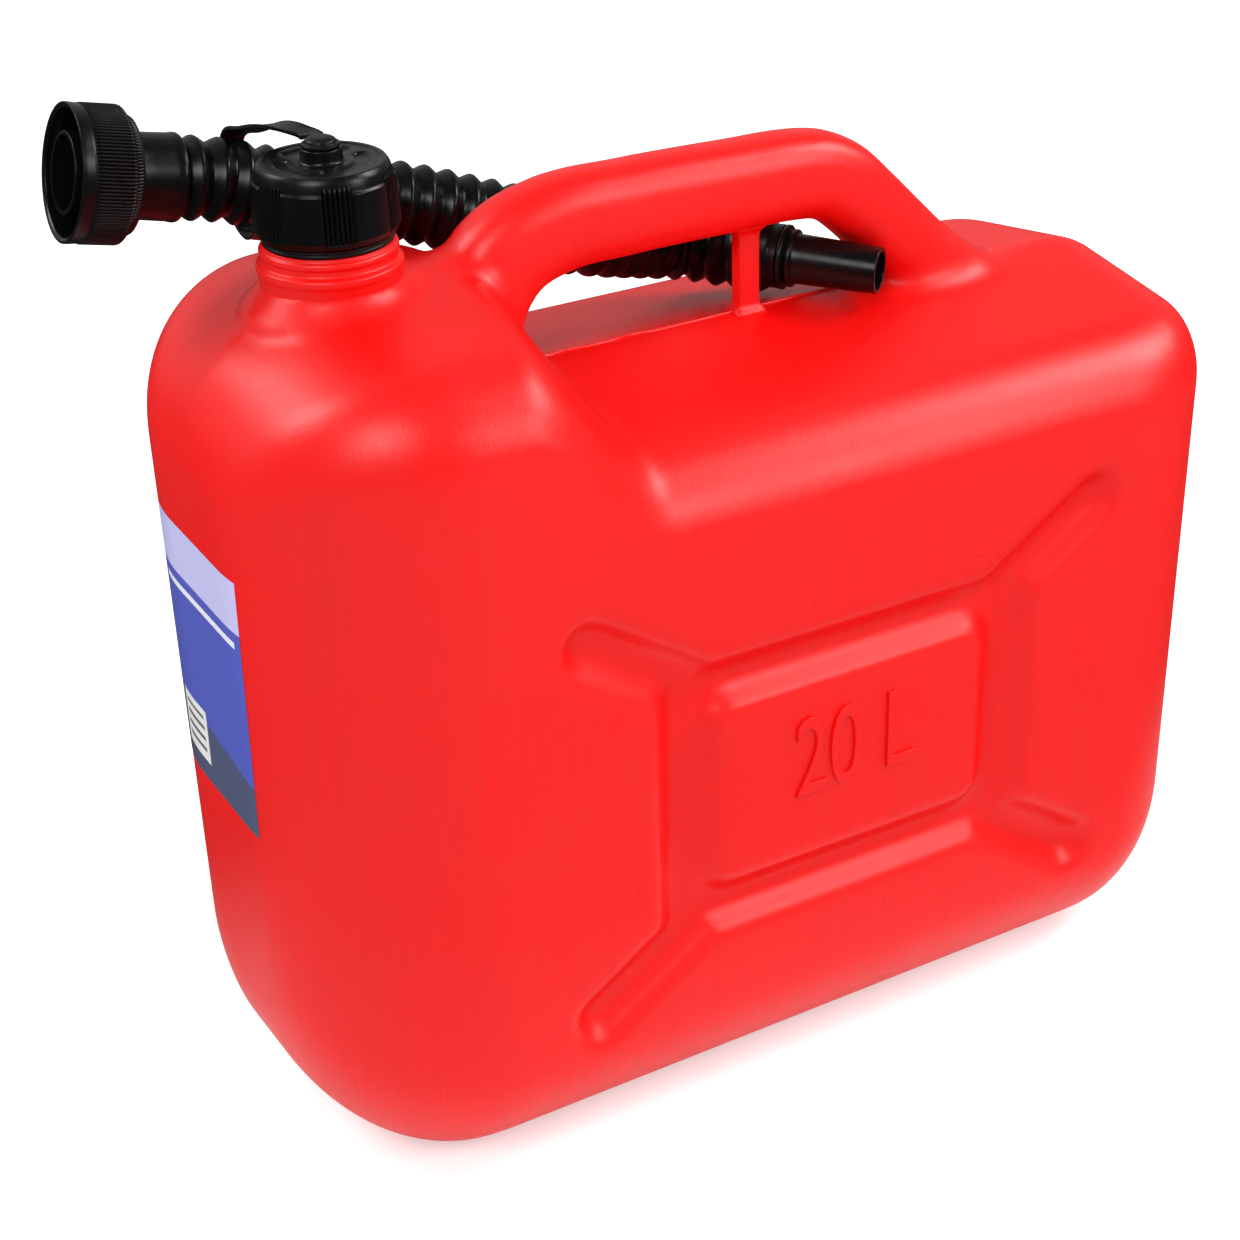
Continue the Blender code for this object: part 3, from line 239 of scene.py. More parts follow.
# The tether
RING_R = 0.0235
RING_GROOVE_share = 0.55
RING_GROOVE_DEPTH = 0.0005
RING_NECK_CLEARANCE = 0.0006
BUTTON_R = 0.0068
BUTTON_BRIM = 0.0012
BUTTON_HEIGHT = 0.0034
BUTTON_DOME_R = 0.0056
BUTTON_TOP_SETBACK = 0.0022
BUTTON_SIDES = 96
BUTTON_PROFILE_STEP = 0.0006
BUTTON_BASE_Z = BOSS_TOP_Z + TOUCH_GAP
STRAP_WIDTH = 0.0088
STRAP_THICKNESS = 0.0016
STRAP_EDGE_share = 0.16
STRAP_WEB_share = 0.62
STRAP_WEB_RUN_share = 0.92
STRAP_START_RISE = 0.0010
STRAP_TOP_CLEARANCE = 0.0058
STRAP_SIDE_CLEARANCE = 0.0020
STRAP_UNDER_CLEARANCE = 0.0040
STRAP_SWEEP = 0.0070
STRAP_RING_ANGLE = math.radians(131)
STRAP_LEAVE_share = 0.30
STRAP_TURN_share = 0.74
STRAP_LOOP_shares = ((1, -0.25), (0.7, 0.7), (0, 1), (-0.7, 0.7), (-1, 0), (-0.7, -0.7))
STRAP_ROWS = 240

# The pouring spout
SPOUT_YAW = math.radians(-2.6)
SPOUT_DIP = math.radians(11.8)
NUT_AHEAD = 0.0747
NUT_SWING = 0.0050
NUT_LIFT = 0.0372
NUT_R = 0.0243
NUT_KNURL_HEIGHT = 0.0007
NUT_KNURLS = 116
NUT_DRUM_LENGTH = 0.0196
NUT_RIM_LENGTH = 0.0044
NUT_RIM_SETBACK = 0.0001
NUT_STEP_R = 0.0215
NUT_STEP_LENGTH = 0.0040
NUT_STEP_ROUND = 0.0018
NUT_PLATE = 0.0024
NUT_HOLE_CLEARANCE = 0.0004
NUT_ENTRY_CHAMFER = 0.0010
NUT_SIDES = 928
NUT_RIM_KNURL_share = 0.7
NUT_KNURL_POWER = 0.6
NUT_KNURL_SINK_share = 0.2
NUT_KNURL_FADE = 0.0006
NUT_KNURL_END = 0.0012
NUT_DRUM_ROUND = 0.0018
NUT_THREAD_SETBACK = 0.0030
NUT_PROFILE_STEP = 0.0011
NUT_LENGTH = NUT_DRUM_LENGTH + NUT_STEP_LENGTH
SLEEVE_R = 0.0147
SLEEVE_WALL = 0.0014
SLEEVE_SETBACK = 0.0004
FLANGE_R = 0.0192
FLANGE_THICKNESS = 0.0022
COLLAR_LENGTH = 0.0188
COLLAR_R = 0.0160
COLLAR_WAIST_AT = 0.0040
COLLAR_SWELL_BACK = 0.0045
COLLAR_BEAD_BACK = 0.0030
COLLAR_END_BACK = 0.0012
COLLAR_BORE_BACK = 0.0040
COLLAR_BORE_ROUND = 0.0030
COLLAR_FUNNEL_ROUND = 0.0040
SPOUT_PROFILE_STEP = 0.0012
HOSE_R = 0.0155
HOSE_VALLEY_R = 0.0128
HOSE_BORE_R = 0.0110
HOSE_RIB_PITCH = 0.0090
HOSE_CUFF = 0.0035
HOSE_ROWS_PER_RIB = 14
HOSE_SIDES = 72
HOSE_CREST_ROUND = 0.16
CAP_SIDE_CLEARANCE = 0.0088
CAP_SIDE_LIFT = 0.0040
HUMP_EDGE_BACK = 0.0360
HUMP_EDGE_X = HUMP_FOOT_X - HUMP_EDGE_BACK
HUMP_EDGE_INWARD = 0.0028
MIDWAY_AHEAD = 0.0340
MIDWAY_X = HUMP_FOOT_X + MIDWAY_AHEAD
MIDWAY_INWARD = 0.0155
MIDWAY_CLEARANCE = 0.0205
NOZZLE_YAW = math.radians(-50.7)
NOZZLE_DIP = math.radians(2.5)
POST_CLEARANCE = 0.0018
NOZZLE_ADVANCE = 0.0071
HOSE_END_STRAIGHT = 0.0310
HOSE_TURN_LEAD = 0.0040
NOZZLE_SPIGOT_R = 0.0093
NOZZLE_SPIGOT_LENGTH = 0.0080
NOZZLE_RING_R = 0.0130
NOZZLE_RING_FALL = 0.0014
NOZZLE_RING_LENGTH = 0.0024
NOZZLE_RING_GAP = 0.0010
NOZZLE_RING_ROUND = 0.0005
NOZZLE_RING_EDGE_share = 0.15
NOZZLE_RINGS = 2
NOZZLE_ROOT_R = 0.0100
NOZZLE_TIP_R = 0.0093
NOZZLE_LENGTH = 0.0405
NOZZLE_WALL = 0.0016
BESIDE_CAP_Y = CAP_R + CAP_RIB_HEIGHT + CAP_SIDE_CLEARANCE + HOSE_R

# The label, the raised figures and the moulding's pips
LABEL_MIDDLE_Y = 0.005
LABEL_MIDDLE_Z = 0.2045
LABEL_WIDTH = 0.074
LABEL_HEIGHT = 0.109
LABEL_TILT = math.radians(2.4)
LABEL_THICKNESS = 0.00012
LABEL_START_AHEAD = 0.02
LABEL_ROWS = 119
LABEL_COLUMNS = 75
FIGURES_X = 0.013
FIGURES_Z = 0.151
FIGURES_HEIGHT = 0.040
FIGURES_RISE = 0.0006
FIGURES_STRETCH = (0.82, 1.25, 1, 1)
FIGURES_BURY_share = 0.3
SEAM_WIDTH = 0.0012
SEAM_RISE = 0.0005
SEAM_WANDER = 0.0003
SEAM_ROWS = 260
SEAM_KNOTS = 27
SEAM_SEED = 7
SEAM_ROLL = 20
SEAM_WIDTH_SWING_share = 0.45
SEAM_RISE_SWING_share = 0.3
SEAM_ACROSS_shares = np.array((-1, -0.5, 0, 0.5, 1, 0.6, -0.6))
SEAM_RISE_shares = np.array((-0.5, 0.8, 1, 0.8, -0.5, -1.5, -1.5))
PIP_R = 0.0011
PIP_RISE = 0.00035
PIP_BURY = 0.0012
PIP_FACE_INSET = 0.0006
PIP_SEED = 11
PIP_ROWS = 6
PIP_SIDES = 16
PIP_BESIDE = 0.012
PIP_BESIDE_SWING = 0.006
PIP_UP_PITCH = 0.030
PIP_UP_SWING = 0.008
PIP_BELOW = 0.009
PIP_ABOVE = 0.008
PIP_EDGE_SWING = 0.004
PIP_ALONG_shares = (-0.7, -0.25, 0.2, 0.65)

# The camera, fitted to the photograph, whose frame is square
CAMERA_PLACE = (-0.48096, -0.78220, 0.65323)
CAMERA_AZIMUTH = math.radians(31.43)
CAMERA_PITCH = math.radians(27.67)
CAMERA_ROLL = math.radians(-0.76)
CAMERA_LENS_MM = 72.56
CAMERA_SHIFT_X = -0.056
CAMERA_SHIFT_Y = -0.008
CAMERA_SENSOR_MM = 36
CAMERA_CLIP_END = 50

# How meshes are finished
EDGE_ANGLE = math.radians(50)
WELD_DISTANCE = 0.000002
FEW_STEPS = 4
MORE_STEPS = 6
END_RING_shares = np.array((0, 0.35, 0.7))[:, None, None]

# Small roundings and steps of the turned profiles' corners, from keen to broad
EDGE_KEEN = 0.0002
EDGE_CRISP = 0.0003
EDGE_FINE = 0.0004
EDGE_EASED = 0.0006
EDGE_SOFT = 0.0008
EDGE_ROUND = 0.0010
EDGE_BROAD = 0.0020

# Finishes: colour, deep colour, least and most roughness, streak and grain scales, relief,
# index of refraction and specular level
FINISHES = {
    "red_polyethylene": ((0.89, 0.0018, 0.0008), (0.78, 0.0010, 0.0006), 0.31, 0.42,
                         900.0, 2600.0, 0.00006, 1.5, 0.46),
    "black_polyethylene": ((0.0022, 0.0024, 0.0025), (0.0036, 0.0038, 0.0040), 0.24, 0.36,
                           300.0, 1500.0, 0.00002, 1.5, 0.28),
    "soft_black_polyethylene": ((0.004, 0.0042, 0.0045), (0.006, 0.0063, 0.0066), 0.32, 0.44,
                                300.0, 1800.0, 0.00002, 1.5, 0.28),
    "gasket_foam": ((0.60, 0.60, 0.58), (0.52, 0.52, 0.50), 0.70, 0.85,
                    900.0, 3000.0, 0.00012, 1.45, 0.5),
}
STREAK_STRETCH = (1, 1, 0.015)
STREAK_DETAIL = 3.0
GRAIN_DETAIL = 2.0
CLOUD_SCALE = 22.0
CLOUD_DETAIL = 4.0
STAIN_FROM, STAIN_TO = 0.35, 0.65
STAIN_share = 0.4
GLOSS_FROM, GLOSS_TO = 0.6, 1.4

# The label's print, with places as shares of its width and height: left, right, low, high
SLATE = (0.080, 0.100, 0.190, 1)
BLUE = (0.085, 0.110, 0.520, 1)
PALE_BLUE = (0.55, 0.55, 0.88, 1)
BLOCK_WHITE = (0.80, 0.81, 0.80, 1)
RULE_GREY = (0.16, 0.17, 0.18, 1)
STRIPE_WHITE = (0.80, 0.82, 0.90, 1)
SLATE_TOP_share = 0.30
SLATE_SLANT_share = 0.10
BAND_FOOT_share = 0.80
BLOCK_shares = (0.10, 0.42, 0.08, 0.30)
RULES_shares = (0.14, 0.38, 0.11, 0.27)
STRIPE_shares = (0.06, 0.94, 0.735, 0.760)
RULES_PER_HEIGHT = 22.0
RULE_GAP_share = 0.6
LABEL_ROUGHNESS = 0.32

# The studio: the glow and the sheen each run from one distance or direction to another,
# and from one strength to another; a lamp has its name, place, size and power
FLOOR_HALF_SIDE = 8
FLOOR_PALE = (0.86, 0.86, 0.86, 1)
FLOOR_DARK = (0.03, 0.03, 0.03, 1)
FLOOR_ROUGHNESS = 0.9
FLOOR_GLOW = (0.30, 1.50, 0.42, 0.70)
FLOOR_OVAL = (0.6, 1.0, 1.0)
FLOOR_DARK_FROM, FLOOR_DARK_TO = 0.13, 0.24
SURROUND_SHEEN = (0.1, 0.8, 0.06, 0.42)
SURROUND_FILL = 0.52
LAMP_TARGET = (0, 0, 0.2)
LAMPS = (
    ("front_lamp", (-1.174, -0.985, 1.486), 0.7, 14),
    ("right_lamp", (1.44, -0.524, 1.486), 0.7, 19),
    ("side_lamp", (0.85, -1.35, 1.05), 0.6, 9),
    ("rear_lamp", (-1.17, 0.985, 1.486), 0.7, 14),
)


def put(name, data):
    """A new object in the scene."""
    item = bpy.data.objects.new(name, data)
    bpy.context.scene.collection.objects.link(item)
    return item


def vertex_points(mesh):
    """The vertices of a mesh as an array of points."""
    points = np.empty(len(mesh.vertices) * 3)
    mesh.vertices.foreach_get("co", points)
    return points.reshape(-1, 3)


def corner_draw(distance, radius):
    """How far a quarter-round has drawn in: radius less the root of radius^2 less reach^2."""
    reach = np.clip(radius - distance, 0, radius)
    return radius - np.sqrt(np.maximum(radius ** 2 - reach ** 2, 0))


def soft_step(u, rounding):
    """Nought below 0, one above 1 and u between them, with both corners rounded."""
    return (np.sqrt(u ** 2 + rounding ** 2) - np.sqrt((u - 1) ** 2 + rounding ** 2) + 1) / 2


def soft_least(first, second, blend):
    """The lesser of two, rounded where they differ by less than the blend."""
    near = np.maximum(blend - np.abs(first - second), 0)
    return np.minimum(first, second) - near ** 2 / (4 * blend)


def hump_rise(x, y):
    """Height of the neck end above the roof: a smooth step, 3t^2 - 2t^3, longer at the sides."""
    across = np.clip(np.abs(y) / (CAN_WIDTH / 2), 0, 1)
    run = HUMP_RUN_MIDDLE + (HUMP_RUN_SIDE - HUMP_RUN_MIDDLE) * across ** 2
    part = np.clip((HUMP_FOOT_X - x) / run, 0, 1)
    return HUMP_RISE * part ** 2 * (3 - 2 * part)


def roof_height(x, y):
    """Height of the gable, with the raised neck end, away from the round ends."""
    return RIDGE_Z + hump_rise(x, y) - np.abs(y) * math.tan(ROOF_SLOPE)


def box_distance(x, z, half_x, half_z, corner):
    """Distance outside a rectangle with round corners, less than nought inside it."""
    over_x = np.abs(x) - half_x + corner
    over_z = np.abs(z) - half_z + corner
    outside = np.hypot(np.maximum(over_x, 0), np.maximum(over_z, 0))
    return outside + np.minimum(np.maximum(over_x, over_z), 0) - corner


def arm_distance(x, z):
    """Distance to the nearest arm's middle line, one quarter standing for all four."""
    across, up = np.abs(x) - ARM_ROOT_X, np.abs(z) - ARM_ROOT_Z
    run_x, run_z = ARM_TIP_X - ARM_ROOT_X, ARM_TIP_Z - ARM_ROOT_Z
    along = np.clip((across * run_x + up * run_z) / (run_x ** 2 + run_z ** 2), 0, 1)
    return np.hypot(across - along * run_x, up - along * run_z)


def groove_depth(x, z, grow):
    """Depth of the frame groove and its four arms: sloping walls down to a flat floor."""
    x, z = x - PANEL_X, z - PANEL_Z
    inside_frame = -box_distance(x, z, FRAME_HALF_X, FRAME_HALF_Z, FRAME_CORNER_R)
    outside_panel = box_distance(x, z, PANEL_HALF_X, PANEL_HALF_Z, PANEL_CORNER_R)
    in_frame = (np.minimum(inside_frame, outside_panel) + grow) / GROOVE_DRAFT_RUN
    in_arm = (ARM_HALF_WIDTH - arm_distance(x, z) + grow) / ARM_DRAFT_RUN
    frame_depth = GROOVE_DEPTH * soft_step(in_frame, GROOVE_ROUNDING_share)
    arm_depth = ARM_DEPTH * soft_step(in_arm, GROOVE_ROUNDING_share)
    return -soft_least(-frame_depth, -arm_depth, GROOVE_BLEND)


def shell_grid(wall, step):
    """The shell's cross-sections along X: floor, foot arc, side, shoulder arc and gable.

    Each quantity of a section is an array over the stations, and each stretch of the
    section one over its own points, so that the grid is [station, point, xyz].
    """
    half_length = CAN_LENGTH / 2 - wall
    turn = np.linspace(0, math.pi / 2, int(PLAN_R_NECK_END * ARC_ROWS_share / step))
    neck_end = (PLAN_R_NECK_END - wall) * (1 - np.cos(turn)) - half_length
    rear_end = half_length - (PLAN_R_REAR_END - wall) * (1 - np.cos(turn))
    between = np.arange(neck_end[-1] + step, rear_end[-1] - step / 2, step)
    x = np.concatenate((neck_end, between, rear_end[::-1]))[:, None]
    front, rear = x + half_length, half_length - x
    side_draw = corner_draw(front, PLAN_R_NECK_END - wall) + corner_draw(rear, PLAN_R_REAR_END - wall)
    half = CAN_WIDTH / 2 - wall - side_draw
    foot = wall + corner_draw(front, FOOT_R_END - wall) + corner_draw(rear, FOOT_R_END - wall)
    drop = corner_draw(front, TOP_R_NECK_END - wall) + corner_draw(rear, TOP_R_REAR_END - wall)
    ridge = RIDGE_Z - wall - drop
    foot_r = FOOT_R_SIDE - wall - side_draw * FOOT_DRAW_share
    shoulder_r = SHOULDER_R - wall - side_draw * SHOULDER_DRAW_share

    arc = np.linspace(0, math.pi / 2, int(FOOT_R_SIDE * ARC_ROWS_share / step))[None]
    foot_y = half - foot_r + foot_r * np.sin(arc)
    foot_z = foot + foot_r - foot_r * np.cos(arc)
    across = np.linspace(0, 1, int(CAN_WIDTH / 4 / step))[None, :-1]
    floor_y = across * (half - foot_r)
    floor_z = foot + 0 * across
    bend = arc[:, ::2] * (1 - ROOF_SLOPE / (math.pi / 2))
    centre_y = half - shoulder_r
    centre_z = ridge - centre_y * math.tan(ROOF_SLOPE) - shoulder_r / math.cos(ROOF_SLOPE)
    shoulder_y = centre_y + shoulder_r * np.cos(bend)
    shoulder_z = centre_z + shoulder_r * np.sin(bend)
    shoulder_z = shoulder_z + hump_rise(x, shoulder_y)
    up = np.linspace(0, 1, int((RIDGE_Z - FOOT_R_SIDE - SHOULDER_R) / step))[None, 1:-1]
    side_y = half + 0 * up
    side_z = foot_z[:, -1:] + (shoulder_z[:, :1] - foot_z[:, -1:]) * up
    inward = np.linspace(1, 0, int(CAN_WIDTH / 3 / step))[None, 1:]
    roof_y = shoulder_y[:, -1:] * inward
    roof_z = ridge - roof_y * math.tan(ROOF_SLOPE) + hump_rise(x, roof_y)

    y = np.hstack((floor_y, foot_y, side_y, shoulder_y, roof_y))
    z = np.hstack((floor_z, foot_z, side_z, shoulder_z, roof_z))
    y = soft_least(y, CAN_WIDTH / 2 - wall - groove_depth(x, z, wall), GROOVE_BLEND)
    y = np.maximum(y, 0)
    y = np.hstack((y, -y[:, -2:0:-1]))
    z = np.hstack((z, z[:, -2:0:-1]))
    scale = 1 + TAPER_share * (z / RIDGE_Z - 1 / 2)
    grid = np.stack((x * scale, y * scale, z), axis=-1)
    return with_flat_ends(grid)


def with_flat_ends(grid):
    """Close both ends of a tube with rings that shrink to the end ring's middle."""
    start, end = (ring.mean(axis=0) + (ring - ring.mean(axis=0)) * shares for ring, shares in
                  ((grid[0], END_RING_shares), (grid[-1], END_RING_shares[::-1])))
    return np.concatenate((start, grid, end))


def smooth_path(points, steps=16):
    """A Hermite curve through points, with slopes weighted for their uneven spacing."""
    points = np.asarray(points, dtype=float)
    gaps = np.linalg.norm(np.diff(points[:, :3], axis=0), axis=1)[:, None]
    runs = np.diff(points, axis=0) / gaps
    inner = (runs[:-1] * gaps[1:] + runs[1:] * gaps[:-1]) / (gaps[1:] + gaps[:-1])
    slopes = np.concatenate((runs[:1], inner, runs[-1:]))
    t = np.linspace(0, 1, steps, endpoint=False)[None, :, None]
    start, end = points[:-1, None], points[1:, None]
    gap = gaps[:, None]
    path = (start * (1 + 2 * t) * (1 - t) ** 2 + end * (3 - 2 * t) * t ** 2
            + slopes[:-1, None] * gap * t * (1 - t) ** 2
            - slopes[1:, None] * gap * (1 - t) * t ** 2)
    return np.concatenate((path.reshape(-1, points.shape[1]), points[-1:]))


def path_lengths(path):
    """Distance along a path up to each of its points."""
    return np.concatenate(((0,), np.cumsum(np.linalg.norm(np.diff(path, axis=0), axis=1))))


def points_at(path, distances):
    """Points of a path at distances from its start, read off by straight interpolation."""
    lengths = path_lengths(path)
    return np.stack([np.interp(distances, lengths, path[:, axis]) for axis in range(3)], axis=-1)


def unit(vectors):
    """Vectors brought to length one."""
    return vectors / np.linalg.norm(vectors, axis=-1, keepdims=True)


def eased(share):
    """A share from 0 to 1 with level ends; below 0 it stays 0, above 1 it stays 1."""
    share = np.clip(share, 0, 1)
    return share ** 2 * (3 - 2 * share)


def heading(yaw, dip):
    """A direction from its turn about Z and its fall below the horizontal."""
    return np.array((math.cos(yaw) * math.cos(dip), math.sin(yaw) * math.cos(dip), -math.sin(dip)))


def superellipse(sides, squareness):
    """Across and up of a squared circle: the signed powers 2/n of the cosine and the sine."""
    angle = np.linspace(0, math.tau, sides, endpoint=False)
    power = 2 / squareness
    return [np.sign(wave) * np.abs(wave) ** power for wave in (np.cos(angle), np.sin(angle))]


def handle_grid():
    """The grip: superellipse rings square to a path in the parting plane."""
    span = HANDLE_REAR_X - HANDLE_FRONT_X
    rise = HANDLE_MIDDLE_Z - RIDGE_Z
    along_span, up_rise, depth, width = HANDLE_PATH_shares.T
    knots = np.stack((HANDLE_FRONT_X + along_span * span, 0 * along_span, RIDGE_Z + up_rise * rise,
                      depth * HANDLE_DEPTH / 2, width * HANDLE_WIDTH / 2), axis=-1)
    path = smooth_path(knots, HANDLE_STEPS)
    along = unit(np.gradient(path[:, :3], axis=0))
    outward = np.stack((-along[:, 2], 0 * along[:, 0], along[:, 0]), axis=-1)
    up, aside = superellipse(HANDLE_SIDES, HANDLE_SQUARENESS)
    sideways = np.array((0, 1, 0))
    grid = (path[:, None, :3] + outward[:, None] * (path[:, 3, None] * up)[..., None]
            + sideways * (path[:, 4, None] * aside)[..., None])
    return with_flat_ends(grid), path


def rounded(corners, steps=MORE_STEPS):
    """A line through (radius, height, rounding): each corner eased by a parabola."""
    corners = np.asarray(corners, dtype=float)
    points = [corners[0, :2]]
    for before, here, after in zip(corners[:-2], corners[1:-1], corners[2:]):
        middle = here[:2]
        back, ahead = before[:2] - middle, after[:2] - middle
        reach = min(here[2], np.hypot(*back) / 2, np.hypot(*ahead) / 2)
        if reach <= 0:
            points.append(middle)
            continue
        start = middle + back / np.hypot(*back) * reach
        end = middle + ahead / np.hypot(*ahead) * reach
        t = np.linspace(0, 1, steps + 1)[:, None]
        points.extend((1 - t) ** 2 * start + 2 * t * (1 - t) * middle + t ** 2 * end)
    points.append(corners[-1, :2])
    return np.array(points)


def refined(profile, step):
    """The same line with added points, so that no two are further apart than a step."""
    lengths = path_lengths(profile)
    extra = np.linspace(0, lengths[-1], int(lengths[-1] / step) + 1)
    marks = np.unique(np.concatenate((lengths, extra)))
    return np.stack((np.interp(marks, lengths, profile[:, 0]),
                     np.interp(marks, lengths, profile[:, 1])), axis=-1)


def turned_grid(profile, sides, ripple=None):
    """A profile of radius and height carried round Z; a ripple adds to the radius."""
    angle = np.linspace(0, math.tau, sides, endpoint=False)[None]
    radius, height = profile[:, :1], profile[:, 1:]
    if ripple is not None:
        radius = radius + ripple(angle, height, radius)
    return np.stack((radius * np.cos(angle), radius * np.sin(angle), height + 0 * angle), axis=-1)


def placed(grid, origin, way=(0, 0, 1)):
    """Turn a grid's Z to a direction and move it to its place."""
    turn = np.array(Vector(way).to_track_quat("Z", "Y").to_matrix())
    return grid @ turn.T + np.asarray(origin)


def between_heights(height, low, high, low_fade, high_fade, high_rounding=FADE_ROUNDING_share):
    """One between two heights and nought outside them, with a soft fade at either end."""
    return (soft_step((height - low) / low_fade, FADE_ROUNDING_share)
            * soft_step((high - height) / high_fade, high_rounding))


def on_wall(radius, wall_r):
    """True for the points of a turned grid that lie on the wall of one radius."""
    return (radius > wall_r - WALL_TOLERANCE) * (radius < wall_r + WALL_TOLERANCE)


def thread_ridge(angle, height, radius, size, wall_r, low, high):
    """A screw thread on one wall: the cube of the cosine of height in pitches less turn."""
    phase = height / NECK_THREAD_PITCH * math.tau - angle
    ridge = np.maximum(np.cos(phase), 0) ** 3
    window = between_heights(height, low, high, THREAD_FADE, THREAD_FADE)
    return size * ridge * window * on_wall(radius, wall_r)


def swept_grid(path, radii, sides):
    """Rings of a radius each, square to a path and upright."""
    along = unit(np.gradient(path, axis=0))
    side = unit(np.cross(along, np.array((0, 0, 1))))
    up = np.cross(side, along)
    angle = np.linspace(0, math.tau, sides, endpoint=False)[None, :, None]
    ring = side[:, None] * np.cos(angle) + up[:, None] * np.sin(angle)
    return path[:, None] + radii[:, None, None] * ring


def as_mesh(name, grid, loop_rows=False, loop_columns=True):
    """A mesh from a grid of points, welded at its poles, its faces turned outwards."""
    rows, columns = grid.shape[:2]
    index = np.arange(rows * columns).reshape(rows, columns)
    if loop_rows:
        index = np.vstack((index, index[:1]))
    if loop_columns:
        index = np.hstack((index, index[:, :1]))
    faces = np.stack((index[:-1, :-1], index[:-1, 1:], index[1:, 1:], index[1:, :-1]), axis=-1)
    mesh = bpy.data.meshes.new(name)
    mesh.from_pydata(grid.reshape(-1, 3).tolist(), [], faces.reshape(-1, 4).tolist())
    builder = bmesh.new()
    builder.from_mesh(mesh)
    bmesh.ops.remove_doubles(builder, verts=builder.verts, dist=WELD_DISTANCE)
    bmesh.ops.recalc_face_normals(builder, faces=builder.faces)
    builder.to_mesh(mesh)
    builder.free()
    mesh.shade_smooth()
    mesh.set_sharp_from_angle(angle=EDGE_ANGLE)
    return mesh


def turned_ring(name, profile, sides, ripple=None, origin=(NECK_X, 0, 0), way=(0, 0, 1)):
    """A turned piece whose profile ends where it starts, set square to a direction."""
    grid = turned_grid(profile[:-1], sides, ripple)
    return as_mesh(name, placed(grid, origin, way), loop_rows=True)


def joined(name, grids):
    """One mesh of several closed grids."""
    builder = bmesh.new()
    for grid in grids:
        builder.from_mesh(as_mesh("blank", grid))
    mesh = bpy.data.meshes.new(name)
    builder.to_mesh(mesh)
    builder.free()
    return mesh


def shaded(mesh):
    """The same mesh, smooth but for its sharp edges."""
    mesh.shade_smooth()
    mesh.set_sharp_from_angle(angle=EDGE_ANGLE)
    return mesh


def show(materials, mesh, slot, body, *nodes):
    """Put a mesh in the scene on a body, standing for some of the solids."""
    item = put(mesh.name, mesh)
    mesh.materials.clear()
    mesh.materials.append(materials[slot])
    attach(item, body)
    if nodes:
        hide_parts(*nodes)
    return item


def evaluated(item):
    """The mesh of an object with its modifiers, named after the object, which is removed."""
    bpy.context.view_layer.update()
    mesh = bpy.data.meshes.new_from_object(item.evaluated_get(bpy.context.evaluated_depsgraph_get()))
    name = item.name
    bpy.data.objects.remove(item, do_unlink=True)
    mesh.name = name
    return mesh


def relaxed(points, edges, weight, rounds):
    """Each round moves every point towards the mean of its neighbours by its weight."""
    count = np.bincount(edges.ravel(), minlength=len(points))
    for _ in range(rounds):
        total = np.zeros_like(points)
        for near, far in ((0, 1), (1, 0)):
            for axis in range(3):
                total[:, axis] += np.bincount(edges[:, near], points[edges[:, far], axis], len(points))
        points = points + weight[:, None] * (total / count[:, None] - points)
    return points


def fillet_weights(points, handle_path):
    """One where the handle or the neck meets the roof, falling to nought at the reach.

    The closeness is the height above the roof plus the distance outside the handle's or
    the neck's own radius, so it is nought on the line where the two surfaces meet.
    """
    above = np.maximum(points[:, 2] - roof_height(points[:, 0], points[:, 1]), 0)
    nearest = np.full(len(points), 1.0)
    for place in handle_path[::4]:
        reach = np.linalg.norm(points - place[:3], axis=1) - (place[3] + place[4]) / 2
        nearest = np.minimum(nearest, reach)
    by_handle = 1 - (np.maximum(nearest, 0) + above) / HANDLE_FILLET_REACH
    from_neck = np.hypot(points[:, 0] - NECK_X, points[:, 1]) - NECK_STUB_R
    by_neck = 1 - (np.abs(from_neck) + above) / NECK_FILLET_REACH
    upper = points[:, 2] > RIDGE_Z - TOP_R_REAR_END
    return np.clip(np.maximum(by_handle, by_neck), 0, 1) * upper


def skin_mesh():
    """Shell, handle and neck stub melted into one skin, and eased where they meet."""
    handle, handle_path = handle_grid()
    low, high = HUMP_TOP_Z - SHOULDER_R / 2, HUMP_TOP_Z + NECK_STUB_RISE
    stub_profile = np.array(((0, low), (NECK_FLARE_R, low), (NECK_FLARE_R, HUMP_TOP_Z - NECK_SEAT_RISE / 2),
                             (NECK_STUB_R, HUMP_TOP_Z - NECK_SEAT_RISE / 6), (NECK_STUB_R, high), (0, high)))
    stub = placed(turned_grid(stub_profile, ROUND_SIDES), (NECK_X, 0, 0))
    item = put("can_skin", joined("can_skin", (shell_grid(SKIN_INSET, STATION_STEP), handle, stub)))
    melt = item.modifiers.new("melt", "REMESH")
    melt.mode = "VOXEL"
    melt.voxel_size = SKIN_VOXEL
    mesh = evaluated(item)

    points = vertex_points(mesh)
    edges = np.empty(len(mesh.edges) * 2, dtype=np.int32)
    mesh.edges.foreach_get("vertices", edges)
    edges = edges.reshape(-1, 2)
    points = relaxed(points, edges, np.full(len(points), CALM_WEIGHT), CALM_ROUNDS)
    points = relaxed(points, edges, FILLET_WEIGHT * fillet_weights(points, handle_path), FILLET_ROUNDS)
    mesh.vertices.foreach_set("co", points.ravel())
    mesh.update()
    return mesh


